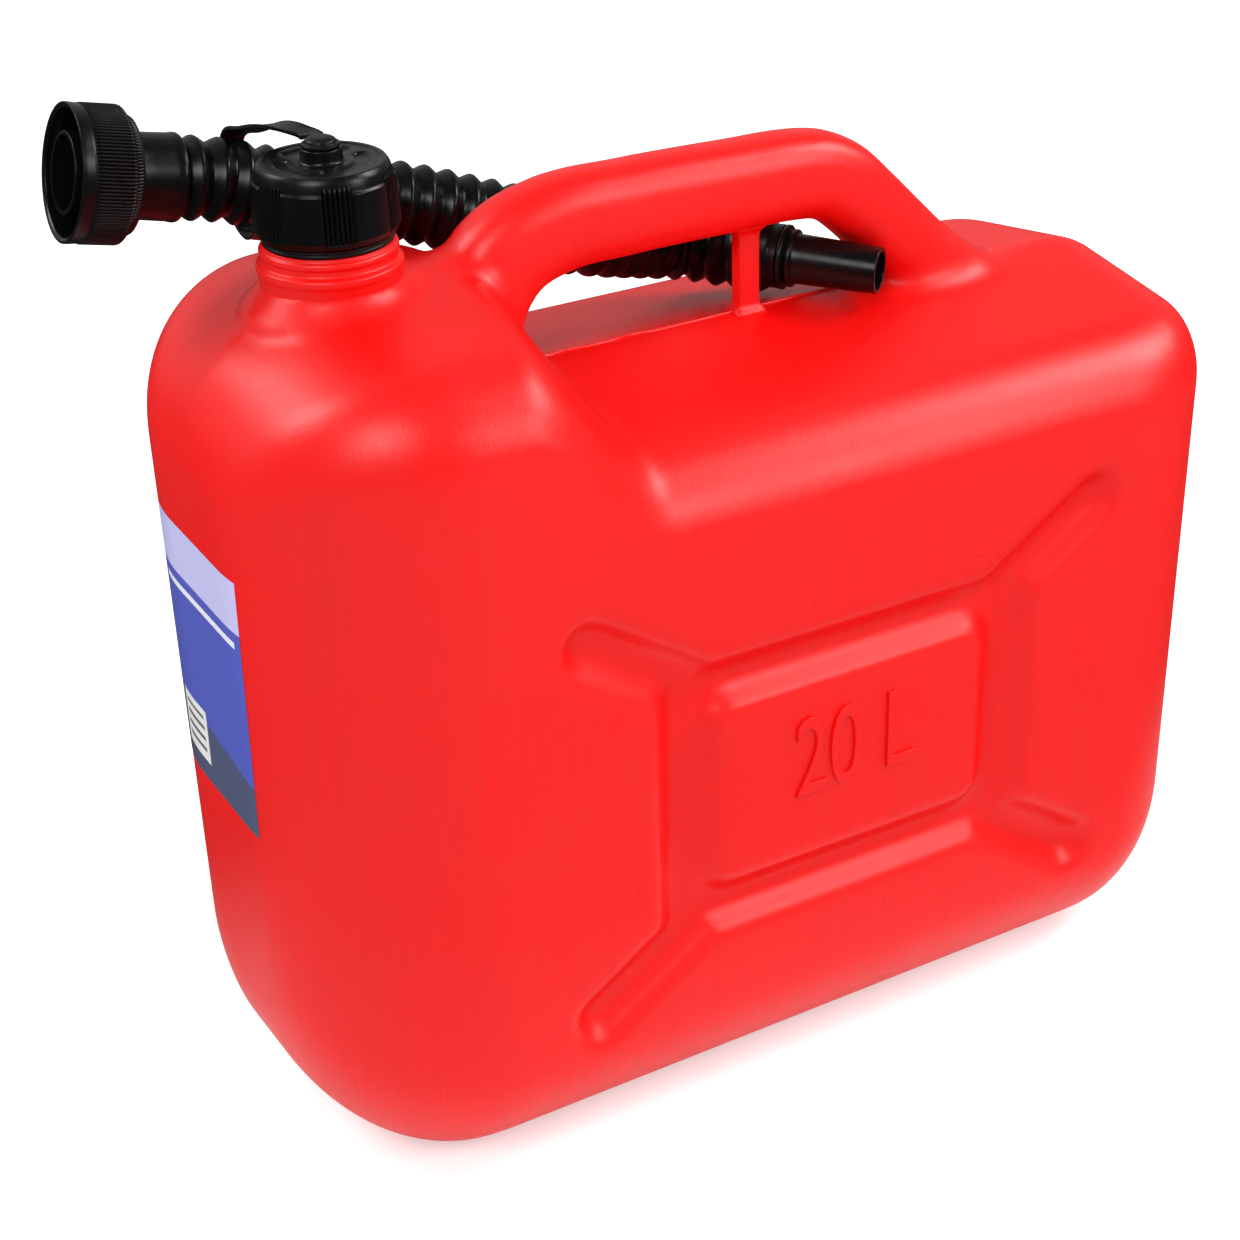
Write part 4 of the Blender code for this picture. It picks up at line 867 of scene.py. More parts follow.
def hollowed(mesh):
    """Cut the hollow and the neck's wide bore out of the melted skin."""
    wide_r = NECK_VALLEY_R - WALL
    low, high = RIDGE_Z - SHOULDER_R, HUMP_TOP_Z + SHOULDER_R
    bore = np.array(((0, low), (wide_r, low), (wide_r, high), (0, high)))
    item = put("can_skin", mesh)
    tools = []
    for name, grid in (("hollow", shell_grid(WALL, 2 * STATION_STEP)),
                       ("bore", placed(turned_grid(bore, ROUND_SIDES), (NECK_X, 0, 0)))):
        tools.append(put(name, as_mesh(name, grid)))
        cut = item.modifiers.new(name, "BOOLEAN")
        cut.operation = "DIFFERENCE"
        cut.solver = "MANIFOLD"
        cut.object = tools[-1]
    mesh = evaluated(item)
    for tool in tools:
        bpy.data.objects.remove(tool, do_unlink=True)
    return shaded(mesh)


def neck_mesh():
    """The neck above the stub: two beads, the ring's seat, the threaded tube and the bore."""
    rise = NECK_SEAT_RISE
    wide_r = NECK_VALLEY_R - WALL
    beads = [(radius, HUMP_TOP_Z + rise * share, NECK_BEAD_ROUND) for radius, share in NECK_BEADS_shares]
    corners = [(wide_r, HUMP_TOP_Z - rise, 0), (NECK_VALLEY_R, HUMP_TOP_Z - rise, 0)] + beads + [
        (NECK_SEAT_R, RING_SEAT_Z, EDGE_EASED), (NECK_TUBE_R, RING_SEAT_Z, EDGE_FINE),
        (NECK_TUBE_R, NECK_TOP_Z, NECK_LIP_ROUND), (NECK_BORE_R, NECK_TOP_Z, NECK_LIP_ROUND),
        (NECK_BORE_R, HUMP_TOP_Z + rise * NECK_BORE_FOOT_share, EDGE_ROUND),
        (wide_r, HUMP_TOP_Z + rise * NECK_THROAT_share, EDGE_ROUND), (wide_r, HUMP_TOP_Z - rise, 0)]

    def thread(angle, height, radius):
        return thread_ridge(angle, height, radius, NECK_THREAD_HEIGHT, NECK_TUBE_R,
                            RING_BASE_Z + RING_THICKNESS + NECK_THREAD_START, NECK_TOP_Z - NECK_THREAD_END)

    return turned_ring("threaded_neck", refined(rounded(corners), NECK_PROFILE_STEP), ROUND_SIDES, thread)


def post_mesh():
    """The post: square rings with soft corners, wider where they run into roof and grip."""
    grip_foot = HANDLE_TOP_Z - HANDLE_DEPTH
    height = np.linspace(RIDGE_Z - POST_BURY, grip_foot + POST_BURY, POST_ROWS)
    from_end = np.minimum(height - RIDGE_Z, grip_foot - height)
    flare = POST_FLARE * np.exp(-np.maximum(from_end, 0) / (POST_FLARE / 2))
    across, aside = superellipse(POST_SIDES, POST_SQUARENESS)
    x = POST_X + (POST_LENGTH / 2 + flare[:, None]) * across
    y = (POST_THICKNESS / 2 + flare[:, None]) * aside
    grid = np.stack((x, y, height[:, None] + 0 * x), axis=-1)
    return as_mesh("handle_post", with_flat_ends(grid))


def cap_ripple(angle, height, radius):
    """Grip ribs in six groups and a smooth lobe between each two, fading at both ends.

    The place in a group comes from the angle modulo a sixth of a turn: ribs are the
    absolute sine of it, and a lobe is a flat swelling with soft edges.
    """
    group = math.tau / CAP_RIB_GROUPS
    width = CAP_RIB_PITCH * CAP_RIBS_IN_GROUP
    place = np.mod(angle - CAP_FIRST_GROUP + width / 2, group)
    ribs = np.abs(np.sin(place / CAP_RIB_PITCH * math.pi)) ** CAP_RIB_POWER
    edge = np.minimum(place - width, group - place) / (CAP_RIB_PITCH / 2)
    lobe = soft_step(edge, FADE_ROUNDING_share)
    shape = np.where(place < width, CAP_RIB_SWING_share * ribs - CAP_RIB_SINK_share,
                     1 - CAP_LOBE_SWING_share + CAP_LOBE_SWING_share * lobe)
    past = np.where(place < width, -CAP_RIB_PAST_SHOULDER, CAP_LOBE_SHORT_OF_SHOULDER)
    window = between_heights(height, CAP_BASE_Z + CAP_RIB_START, CAP_TOP_Z - CAP_SHOULDER - past,
                             CAP_RIB_FADE, CAP_RIB_TOP_FADE, CAP_RIB_TOP_ROUNDING_share)
    outside = radius > CAP_ROOM_R + CAP_RIB_LEAST_WALL
    return CAP_RIB_HEIGHT * shape * window * outside


def cap_mesh():
    """The cap: one turned profile from the room's middle round the skirt to the boss's pin."""
    base, top, disc = CAP_BASE_Z, CAP_TOP_Z, CAP_TOP_Z - CAP_DISC_SINK
    corners = (
        (0, CAP_ROOM_Z, 0), (CAP_ROOM_R, CAP_ROOM_Z, EDGE_EASED), (CAP_ROOM_R, base, EDGE_EASED),
        (CAP_R - EDGE_FINE, base, CAP_SKIRT_ROUND), (CAP_R, base + EDGE_SOFT, EDGE_FINE),
        (CAP_TOP_R + EDGE_EASED, top - CAP_SHOULDER, CAP_SHOULDER_ROUND),
        (CAP_TOP_R - EDGE_FINE, top - CAP_BEVEL, EDGE_ROUND), (CAP_TOP_R - CAP_BEVEL, top, EDGE_CRISP),
        (CAP_TOP_R - CAP_RIM_share * CAP_BEVEL, top, EDGE_FINE),
        (CAP_TOP_R - CAP_DISC_share * CAP_BEVEL, disc, EDGE_FINE),
        (CAP_BOSS_R + EDGE_EASED, disc, EDGE_EASED), (CAP_BOSS_R, top + EDGE_EASED, EDGE_EASED),
        (CAP_BOSS_R - EDGE_KEEN, BOSS_TOP_Z, EDGE_EASED),
        (CAP_PIN_R, BOSS_TOP_Z, EDGE_KEEN), (CAP_PIN_R, BOSS_TOP_Z + CAP_PIN_HEIGHT, EDGE_FINE),
        (0, BOSS_TOP_Z + CAP_PIN_HEIGHT, 0),
    )
    profile = refined(rounded(corners, FEW_STEPS), CAP_PROFILE_STEP)

    def ripple(angle, height, radius):
        thread = thread_ridge(angle, height, radius, CAP_THREAD_HEIGHT, CAP_ROOM_R,
                              base + CAP_THREAD_START, CAP_ROOM_Z - CAP_THREAD_END)
        return cap_ripple(angle, height, radius) - thread

    grid = turned_grid(profile, CAP_SIDES, ripple)
    radius = np.hypot(grid[..., 0], grid[..., 1])
    angle = np.arctan2(grid[..., 1], grid[..., 0])
    half_turn = math.pi / CAP_POCKETS
    turn = np.mod(angle - CAP_FIRST_GROUP + half_turn, 2 * half_turn) - half_turn
    middle_r = (CAP_POCKET_INNER_R + CAP_POCKET_OUTER_R) / 2
    half_width = (CAP_POCKET_OUTER_R - CAP_POCKET_INNER_R) / 2
    over = np.maximum(np.abs(turn) - CAP_POCKET_HALF_ANGLE, 0) * middle_r
    inside = (half_width - np.hypot(over, radius - middle_r)) / CAP_POCKET_WALL
    on_top = (grid[..., 2] > disc - WALL_TOLERANCE) * (grid[..., 2] < top + WALL_TOLERANCE / 2)
    grid[..., 2] -= CAP_POCKET_DEPTH * soft_step(inside, FADE_ROUNDING_share) * on_top
    return as_mesh("ribbed_cap", placed(grid, (NECK_X, 0, 0)))


def ring_mesh():
    """The tether's ring: a turned band with a groove round its edge."""
    inner = NECK_TUBE_R + RING_NECK_CLEARANCE
    base, top = RING_BASE_Z, RING_BASE_Z + RING_THICKNESS
    middle = base + RING_THICKNESS * RING_GROOVE_share
    corners = ((inner, base, 0), (RING_R, base, EDGE_SOFT), (RING_R, middle - EDGE_FINE, EDGE_KEEN),
               (RING_R - RING_GROOVE_DEPTH, middle, EDGE_CRISP), (RING_R, middle + EDGE_FINE, EDGE_KEEN),
               (RING_R, top, EDGE_ROUND), (inner, top, EDGE_CRISP), (inner, base, 0))
    return turned_ring("tether_band", rounded(corners), ROUND_SIDES)


def button_mesh():
    """The tether's eye: a brim, a low dome, and the socket below."""
    socket_r = CAP_PIN_R + TOUCH_GAP
    socket_top = BOSS_TOP_Z + CAP_PIN_HEIGHT + TOUCH_GAP
    base, brim, top = BUTTON_BASE_Z, BUTTON_BASE_Z + BUTTON_BRIM, BUTTON_BASE_Z + BUTTON_HEIGHT
    corners = ((0, socket_top, 0), (socket_r, socket_top, EDGE_KEEN), (socket_r, base, EDGE_CRISP),
               (BUTTON_R, base, EDGE_CRISP), (BUTTON_R, brim, EDGE_FINE), (BUTTON_DOME_R, brim, EDGE_CRISP),
               (BUTTON_DOME_R - EDGE_KEEN, top - EDGE_ROUND, EDGE_ROUND),
               (BUTTON_DOME_R - BUTTON_TOP_SETBACK, top, EDGE_ROUND), (0, top, 0))
    grid = turned_grid(refined(rounded(corners), BUTTON_PROFILE_STEP), BUTTON_SIDES)
    return as_mesh("tether_eye", placed(grid, (NECK_X, 0, 0)))


def nut_rim():
    """Middle of the nut's open rim."""
    return np.array((NECK_X - NUT_AHEAD, BESIDE_CAP_Y + NUT_SWING, HUMP_TOP_Z + NUT_LIFT))


def hose_end():
    """Middle of the hose's end at the nozzle, just past the post and on the roof."""
    away = np.array((-math.sin(NOZZLE_YAW), math.cos(NOZZLE_YAW), 0))
    corner = np.array((POST_X + POST_LENGTH / 2, POST_THICKNESS / 2, 0))
    end = corner + away * (HOSE_R + POST_CLEARANCE) + heading(NOZZLE_YAW, NOZZLE_DIP) * NOZZLE_ADVANCE
    end[2] = roof_height(end[0], end[1]) + HOSE_R + TOUCH_GAP
    return end


def hose_route():
    """The hose's middle line from the collar past the cap, over the step and down to the roof."""
    way = heading(SPOUT_YAW, SPOUT_DIP)
    start = nut_rim() + way * (NUT_LENGTH + COLLAR_LENGTH)
    straight = start + way * HOSE_RIB_PITCH
    beside_cap = (NECK_X, BESIDE_CAP_Y, HUMP_TOP_Z + HOSE_R + CAP_SIDE_LIFT)
    edge_y = BESIDE_CAP_Y - HUMP_EDGE_INWARD
    edge = (HUMP_EDGE_X, edge_y, roof_height(HUMP_EDGE_X, edge_y) + HOSE_R + HUMP_EDGE_INWARD)
    middle_y = BESIDE_CAP_Y - MIDWAY_INWARD
    midway = (MIDWAY_X, middle_y, roof_height(MIDWAY_X, middle_y) + HOSE_R + MIDWAY_CLEARANCE)
    end = hose_end()
    nozzle_way = heading(NOZZLE_YAW, NOZZLE_DIP)
    turned_in = end - nozzle_way * HOSE_END_STRAIGHT
    turning = turned_in - nozzle_way * HOSE_TURN_LEAD
    return np.array((start, straight, beside_cap, edge, midway, turning, turned_in, end))


def hose_mesh():
    """The bellows: the radius is a softened triangle wave along the route, and a bore inside."""
    path = smooth_path(hose_route())
    total = path_lengths(path)[-1]
    ribs = int((total - HOSE_CUFF) / HOSE_RIB_PITCH)
    pitch = (total - HOSE_CUFF) / ribs
    distance = np.linspace(0, total, ribs * HOSE_ROWS_PER_RIB + 1)
    phase = np.minimum(distance / pitch, ribs)
    wave = np.abs(2 * (phase - np.floor(phase)) - 1)
    crest = 1 - (np.sqrt(wave ** 2 + HOSE_CREST_ROUND ** 2) - HOSE_CREST_ROUND)
    crest = (crest - crest.min()) / (crest.max() - crest.min())
    radius = HOSE_VALLEY_R + (HOSE_R - HOSE_VALLEY_R) * crest
    centres = points_at(path, distance)
    outer = swept_grid(centres, radius, HOSE_SIDES)
    inner = swept_grid(centres, radius - (HOSE_VALLEY_R - HOSE_BORE_R), HOSE_SIDES)[::-1]
    return as_mesh("bellows_hose", np.concatenate((outer, inner)), loop_rows=True)


def collar_mesh():
    """The glossy collar with its flange and inlet sleeve, one turned profile with a bore."""
    flange_at = NUT_LENGTH - NUT_PLATE - TOUCH_GAP
    flange_foot = flange_at - FLANGE_THICKNESS
    end = NUT_LENGTH + COLLAR_LENGTH
    inner = SLEEVE_R - SLEEVE_WALL
    corners = ((inner, SLEEVE_SETBACK, 0), (SLEEVE_R, SLEEVE_SETBACK, EDGE_FINE),
               (SLEEVE_R, flange_foot, EDGE_EASED), (FLANGE_R, flange_foot, EDGE_FINE),
               (FLANGE_R, flange_at, EDGE_FINE), (COLLAR_R, flange_at, EDGE_CRISP),
               (COLLAR_R - EDGE_FINE, NUT_LENGTH + COLLAR_WAIST_AT, EDGE_BROAD),
               (COLLAR_R - EDGE_KEEN, end - COLLAR_SWELL_BACK, EDGE_BROAD),
               (COLLAR_R + EDGE_KEEN, end - COLLAR_BEAD_BACK, EDGE_SOFT),
               (COLLAR_R, end - COLLAR_END_BACK, EDGE_ROUND), (HOSE_VALLEY_R, end, EDGE_SOFT),
               (HOSE_BORE_R, end, EDGE_FINE), (HOSE_BORE_R, end - COLLAR_BORE_BACK, COLLAR_BORE_ROUND),
               (inner, flange_at, COLLAR_FUNNEL_ROUND), (inner, SLEEVE_SETBACK, 0))
    return turned_ring("spout_collar", refined(rounded(corners), SPOUT_PROFILE_STEP), ROUND_SIDES,
                       origin=nut_rim(), way=heading(SPOUT_YAW, SPOUT_DIP))


def nozzle_mesh():
    """The nozzle: a spigot in the hose, stepped rings and a slim tapered tube, hollow."""
    inner_tip = NOZZLE_TIP_R - NOZZLE_WALL
    inner_root = NOZZLE_SPIGOT_R - NOZZLE_WALL
    edge = NOZZLE_RING_LENGTH * NOZZLE_RING_EDGE_share
    corners = [(inner_root, -NOZZLE_SPIGOT_LENGTH, 0), (NOZZLE_SPIGOT_R, -NOZZLE_SPIGOT_LENGTH, EDGE_FINE),
               (NOZZLE_SPIGOT_R, TOUCH_GAP, 0)]
    along = TOUCH_GAP
    for ring in range(NOZZLE_RINGS):
        radius = NOZZLE_RING_R - ring * NOZZLE_RING_FALL
        valley = radius - NOZZLE_RING_FALL
        corners += [(valley, along, EDGE_KEEN), (radius, along + edge, NOZZLE_RING_ROUND),
                    (radius, along + NOZZLE_RING_LENGTH - edge, NOZZLE_RING_ROUND),
                    (valley, along + NOZZLE_RING_LENGTH, EDGE_CRISP)]
        along += NOZZLE_RING_LENGTH + NOZZLE_RING_GAP
    corners += [(NOZZLE_ROOT_R, along + NOZZLE_RING_GAP, EDGE_ROUND),
                (NOZZLE_TIP_R, NOZZLE_LENGTH, NOZZLE_RING_ROUND),
                (inner_tip, NOZZLE_LENGTH, EDGE_FINE), (inner_root, -NOZZLE_SPIGOT_LENGTH, 0)]
    return turned_ring("pouring_nozzle", refined(rounded(corners), SPOUT_PROFILE_STEP), ROUND_SIDES,
                       origin=hose_end(), way=heading(NOZZLE_YAW, NOZZLE_DIP))


def nut_mesh():
    """The nut: a turned shell with a fine knurl outside and a thread inside."""
    rim_r = NUT_R + NUT_KNURL_HEIGHT * NUT_RIM_KNURL_share
    entry_r = CAP_ROOM_R + NUT_ENTRY_CHAMFER
    step_room_r = NUT_STEP_R - NUT_STEP_ROUND
    hole_r = COLLAR_R + NUT_HOLE_CLEARANCE
    plate, room = NUT_LENGTH - NUT_PLATE, NUT_DRUM_LENGTH - NUT_PLATE
    corners = ((entry_r, NUT_RIM_SETBACK, 0), (rim_r, NUT_RIM_SETBACK, EDGE_FINE),
               (rim_r, NUT_RIM_LENGTH / 3, EDGE_EASED),
               (NUT_R + NUT_KNURL_HEIGHT / 3, NUT_RIM_LENGTH, EDGE_FINE),
               (NUT_R, NUT_RIM_LENGTH + EDGE_FINE, EDGE_CRISP), (NUT_R, NUT_DRUM_LENGTH, NUT_DRUM_ROUND),
               (NUT_STEP_R, NUT_DRUM_LENGTH + EDGE_FINE, EDGE_FINE), (NUT_STEP_R, NUT_LENGTH, NUT_STEP_ROUND),
               (hole_r, NUT_LENGTH, EDGE_FINE), (hole_r, plate, EDGE_CRISP), (step_room_r, plate, EDGE_FINE),
               (step_room_r, room + NUT_STEP_ROUND, EDGE_FINE), (CAP_ROOM_R, room, EDGE_FINE),
               (CAP_ROOM_R, NUT_ENTRY_CHAMFER, EDGE_KEEN), (entry_r, NUT_RIM_SETBACK, 0))

    def ripple(angle, height, radius):
        knurl = np.abs(np.sin(angle * NUT_KNURLS / 2)) ** NUT_KNURL_POWER - NUT_KNURL_SINK_share
        window = between_heights(height, NUT_RIM_LENGTH + NUT_KNURL_FADE, NUT_LENGTH - NUT_KNURL_END,
                                 NUT_KNURL_FADE, NUT_KNURL_END)
        thread = thread_ridge(angle, height, radius, CAP_THREAD_HEIGHT, CAP_ROOM_R,
                              NUT_THREAD_SETBACK, room - NUT_THREAD_SETBACK)
        return NUT_KNURL_HEIGHT * knurl * ((radius > NUT_STEP_R - WALL_TOLERANCE) * window) - thread

    return turned_ring("knurled_nut", refined(rounded(corners, FEW_STEPS), NUT_PROFILE_STEP), NUT_SIDES,
                       ripple, nut_rim(), heading(SPOUT_YAW, SPOUT_DIP))


def strap_mesh():
    """The strap: a flat section with raised edges, carried from the eye round the hose to the ring."""
    hose = hose_route()
    beside, straight = hose[2], hose[1]
    back = (beside[0] - STRAP_SWEEP - straight[0]) / (beside[0] - straight[0])
    axis = straight + (beside - straight) * back
    half = STRAP_THICKNESS / 2
    over, aside, under = (HOSE_R + half + clearance for clearance in
                          (STRAP_TOP_CLEARANCE, STRAP_SIDE_CLEARANCE, STRAP_UNDER_CLEARANCE))
    start = np.array((NECK_X, BUTTON_R + TOUCH_GAP, BUTTON_BASE_Z + STRAP_THICKNESS))
    from_ring = np.array((math.cos(STRAP_RING_ANGLE), math.sin(STRAP_RING_ANGLE), 0))
    ring_middle = np.array((NECK_X, 0, RING_BASE_Z + RING_THICKNESS / 2))
    end = ring_middle + from_ring * (RING_R + STRAP_THICKNESS / 3)
    loop = [axis + np.array((0, aside * out, (over if up > 0 else under) * up))
            for up, out in STRAP_LOOP_shares]
    level = start + np.array((0, STRAP_WIDTH / 3, 0))
    leave = start + np.array((-STRAP_WIDTH / 3, STRAP_WIDTH, STRAP_START_RISE))
    path = smooth_path([start, level, leave] + loop + [end + from_ring * STRAP_WIDTH / 2, end])
    distance = np.linspace(0, path_lengths(path)[-1], STRAP_ROWS)
    centres = points_at(path, distance)
    along = unit(np.gradient(centres, axis=0))
    share = (distance / distance[-1])[:, None]
    leaving = 1 - eased(share / STRAP_LEAVE_share)
    arriving = eased((share - STRAP_TURN_share) / (1 - STRAP_TURN_share))
    way = unit(beside - straight)
    from_axis = centres - axis
    from_axis = unit(from_axis - way * (from_axis @ way)[:, None])
    outward = from_axis * (1 - leaving) * (1 - arriving) + np.array((0, 0, 1)) * (leaving - arriving)
    across = unit(np.cross(outward, along))
    up = unit(np.cross(along, across))
    width, thin = STRAP_WIDTH / 2, half * STRAP_WEB_share
    rail, web = width * (1 - STRAP_EDGE_share), width * (STRAP_WEB_RUN_share - STRAP_EDGE_share)
    section = rounded(((width, 0, 0), (width, half, EDGE_FINE), (rail, half, EDGE_FINE),
                       (web, thin, EDGE_CRISP), (-web, thin, EDGE_CRISP), (-rail, half, EDGE_FINE),
                       (-width, half, EDGE_FINE), (-width, -half, EDGE_FINE), (width, -half, EDGE_FINE),
                       (width, 0, 0)), FEW_STEPS)[:-1]
    grid = centres[:, None] + across[:, None] * section[None, :, :1] + up[:, None] * section[None, :, 1:]
    return as_mesh("tether_band_strap", with_flat_ends(grid)), start, end


def mould_seam():
    """A thin raised line where the mould's halves met: a narrow strip along Y = 0."""
    front = np.linspace(HUMP_FOOT_X - HUMP_RUN_MIDDLE, HANDLE_REAR_X, SEAM_ROWS)
    knots = np.linspace(front[0], front[-1], SEAM_KNOTS)
    wander = np.interp(front, knots, np.random.default_rng(SEAM_SEED).uniform(-1, 1, SEAM_KNOTS))[:, None]
    width = SEAM_WIDTH * (1 + SEAM_WIDTH_SWING_share * np.roll(wander, SEAM_ROLL))
    y = SEAM_WANDER * wander + width / 2 * SEAM_ACROSS_shares
    rise = SEAM_RISE * SEAM_RISE_shares * (1 + SEAM_RISE_SWING_share * wander)
    z = roof_height(front, 0)[:, None] + rise - np.abs(y) * math.tan(ROOF_SLOPE)
    grid = np.stack((front[:, None] + 0 * y, y, z), axis=-1)
    return as_mesh("mould_seam", with_flat_ends(grid))


def pips_mesh():
    """Small raised marks that the mould's vents leave round the grooves: low domes."""
    rng = np.random.default_rng(PIP_SEED)
    places = []
    for side_x in (-1, 1):
        for side_z in (-1, 0, 1):
            places.append((side_x * (FRAME_HALF_X + PIP_BESIDE + PIP_BESIDE_SWING * rng.random()),
                           side_z * PIP_UP_PITCH + PIP_UP_SWING * rng.random()))
    for share in PIP_ALONG_shares:
        for side_z, gap in ((-1, PIP_BELOW), (1, PIP_ABOVE)):
            up = FRAME_HALF_Z + gap + PIP_EDGE_SWING * rng.random()
            places.append((share * FRAME_HALF_X, side_z * up))
    angle = np.linspace(0, math.tau, PIP_SIDES, endpoint=False)
    fall = np.linspace(0, 1, PIP_ROWS)[:, None]
    dome_x, dome_z = PIP_R * fall * np.cos(angle), PIP_R * fall * np.sin(angle)
    rise = PIP_RISE * (1 - fall ** 2) + 0 * angle
    domes = []
    for side in (-1, 1):
        for place_x, place_z in np.array(places) + (PANEL_X, PANEL_Z):
            scale = 1 + TAPER_share * (place_z / RIDGE_Z - 1 / 2)
            y = side * ((CAN_WIDTH / 2 - PIP_FACE_INSET) * scale + rise)
            dome = np.stack(((place_x + dome_x) * scale, y, place_z + dome_z), axis=-1)
            back = dome[-1:].copy()
            back[..., 1] -= side * PIP_BURY
            centre = np.broadcast_to(back.mean(axis=1, keepdims=True), back.shape)
            domes.append(np.concatenate((dome, back, centre)))
    mesh = joined("vent_pips", domes)
    mesh.shade_smooth()
    return mesh


def figures_mesh():
    """The raised volume on the front panel, as plain figures with soft edges."""
    curve = bpy.data.curves.new("volume_figures", "FONT")
    curve.body = "20 L"
    curve.size = FIGURES_HEIGHT
    curve.extrude = FIGURES_RISE
    curve.bevel_depth = FIGURES_RISE / 2
    curve.bevel_resolution = 2
    curve.offset = -FIGURES_RISE / 2
    curve.align_x = curve.align_y = "CENTER"
    mesh = evaluated(put("volume_figures", curve))
    face = -CAN_WIDTH / 2 * (1 + TAPER_share * (FIGURES_Z / RIDGE_Z - 1 / 2))
    lean = math.atan2(CAN_WIDTH / 2 * TAPER_share, RIDGE_Z)
    mesh.transform(Matrix.Translation((FIGURES_X, face + FIGURES_RISE * FIGURES_BURY_share, FIGURES_Z))
                   @ Matrix.Rotation(math.pi / 2 + lean, 4, "X") @ Matrix.Diagonal(FIGURES_STRETCH))
    return shaded(mesh)


def label_mesh(skin):
    """The label: a thin tilted rectangle laid on the neck end, with its own UV map."""
    y = LABEL_WIDTH / 2 * np.linspace(-1, 1, LABEL_COLUMNS)[None]
    z = LABEL_HEIGHT / 2 * np.linspace(-1, 1, LABEL_ROWS)[:, None]
    cos, sin = math.cos(LABEL_TILT), math.sin(LABEL_TILT)
    grid = np.stack((0 * (y + z) - CAN_LENGTH / 2 - LABEL_START_AHEAD,
                     LABEL_MIDDLE_Y + y * cos - z * sin, LABEL_MIDDLE_Z + z * cos + y * sin), axis=-1)
    item = put("end_label", as_mesh("end_label", grid, loop_columns=False))
    lay = item.modifiers.new("lay", "SHRINKWRAP")
    lay.target = skin
    lay.wrap_method = "PROJECT"
    lay.use_project_x = True
    lay.use_negative_direction = False
    lay.use_positive_direction = True
    lay.offset = LABEL_THICKNESS
    mesh = evaluated(item)
    corners = np.empty(len(mesh.loops), dtype=np.int32)
    mesh.loops.foreach_get("vertex_index", corners)
    _, out_y, out_z = (vertex_points(mesh) - (0, LABEL_MIDDLE_Y, LABEL_MIDDLE_Z)).T
    uv = np.stack(((-out_y * cos - out_z * sin) / LABEL_WIDTH + 0.5,
                   (out_z * cos - out_y * sin) / LABEL_HEIGHT + 0.5), axis=-1)
    mesh.uv_layers.new(name="label").data.foreach_set("uv", uv[corners].ravel())
    return mesh


def add(tree, kind, inputs=None, **settings):
    """Add a node, set its options, and fill or link its inputs."""
    item = tree.nodes.new(kind)
    for key, value in settings.items():
        setattr(item, key, value)
    for key, value in (inputs or {}).items():
        if isinstance(value, bpy.types.NodeSocket):
            tree.links.new(value, item.inputs[key])
        else:
            item.inputs[key].default_value = value
    return item


def maths(tree, operation, first, second):
    """The output of a math node."""
    return add(tree, "ShaderNodeMath", {0: first, 1: second}, operation=operation).outputs[0]


def ranged(tree, value, low, high, to_low=0.0, to_high=1.0):
    """A value with one range carried to another."""
    return add(tree, "ShaderNodeMapRange", {"Value": value, "From Min": low, "From Max": high,
                                            "To Min": to_low, "To Max": to_high}).outputs["Result"]


def tint(tree, factor, below, above):
    """A mix of two colours."""
    return add(tree, "ShaderNodeMix", {"Factor": factor, "A": below, "B": above}, data_type="RGBA").outputs[2]


def noise(tree, place, scale, detail):
    """A noise texture's value."""
    return add(tree, "ShaderNodeTexNoise", {"Vector": place, "Scale": scale, "Detail": detail}).outputs["Fac"]


def new_material(name):
    """A material, its node tree and its shader."""
    material = bpy.data.materials.new(name)
    material.use_nodes = True
    return material, material.node_tree, material.node_tree.nodes["Principled BSDF"]


def plastic(name, colour, deep_colour, least_rough, most_rough, streaks, grain, relief, refraction, level):
    """A moulded plastic: colour and gloss vary slowly, and streaks and grain give relief."""
    material, tree, shader = new_material(name)
    place = add(tree, "ShaderNodeTexCoord").outputs["Object"]
    long_way = add(tree, "ShaderNodeMapping", {"Vector": place, "Scale": STREAK_STRETCH}).outputs["Vector"]
    streak = noise(tree, long_way, streaks, STREAK_DETAIL)
    fine = noise(tree, place, grain, GRAIN_DETAIL)
    cloud = noise(tree, place, CLOUD_SCALE, CLOUD_DETAIL)
    stain = ranged(tree, streak, STAIN_FROM, STAIN_TO)
    blend = add(tree, "ShaderNodeMix", {"Factor": STAIN_share, "A": cloud, "B": stain}).outputs[0]
    gloss = ranged(tree, maths(tree, "ADD", cloud, streak), GLOSS_FROM, GLOSS_TO, least_rough, most_rough)
    height = maths(tree, "ADD", streak, fine)
    bump = add(tree, "ShaderNodeBump", {"Height": height, "Strength": 1.0, "Distance": relief})
    tree.links.new(tint(tree, blend, (*colour, 1), (*deep_colour, 1)), shader.inputs["Base Color"])
    tree.links.new(gloss, shader.inputs["Roughness"])
    tree.links.new(bump.outputs["Normal"], shader.inputs["Normal"])
    shader.inputs["IOR"].default_value = refraction
    shader.inputs["Specular IOR Level"].default_value = level
    return material


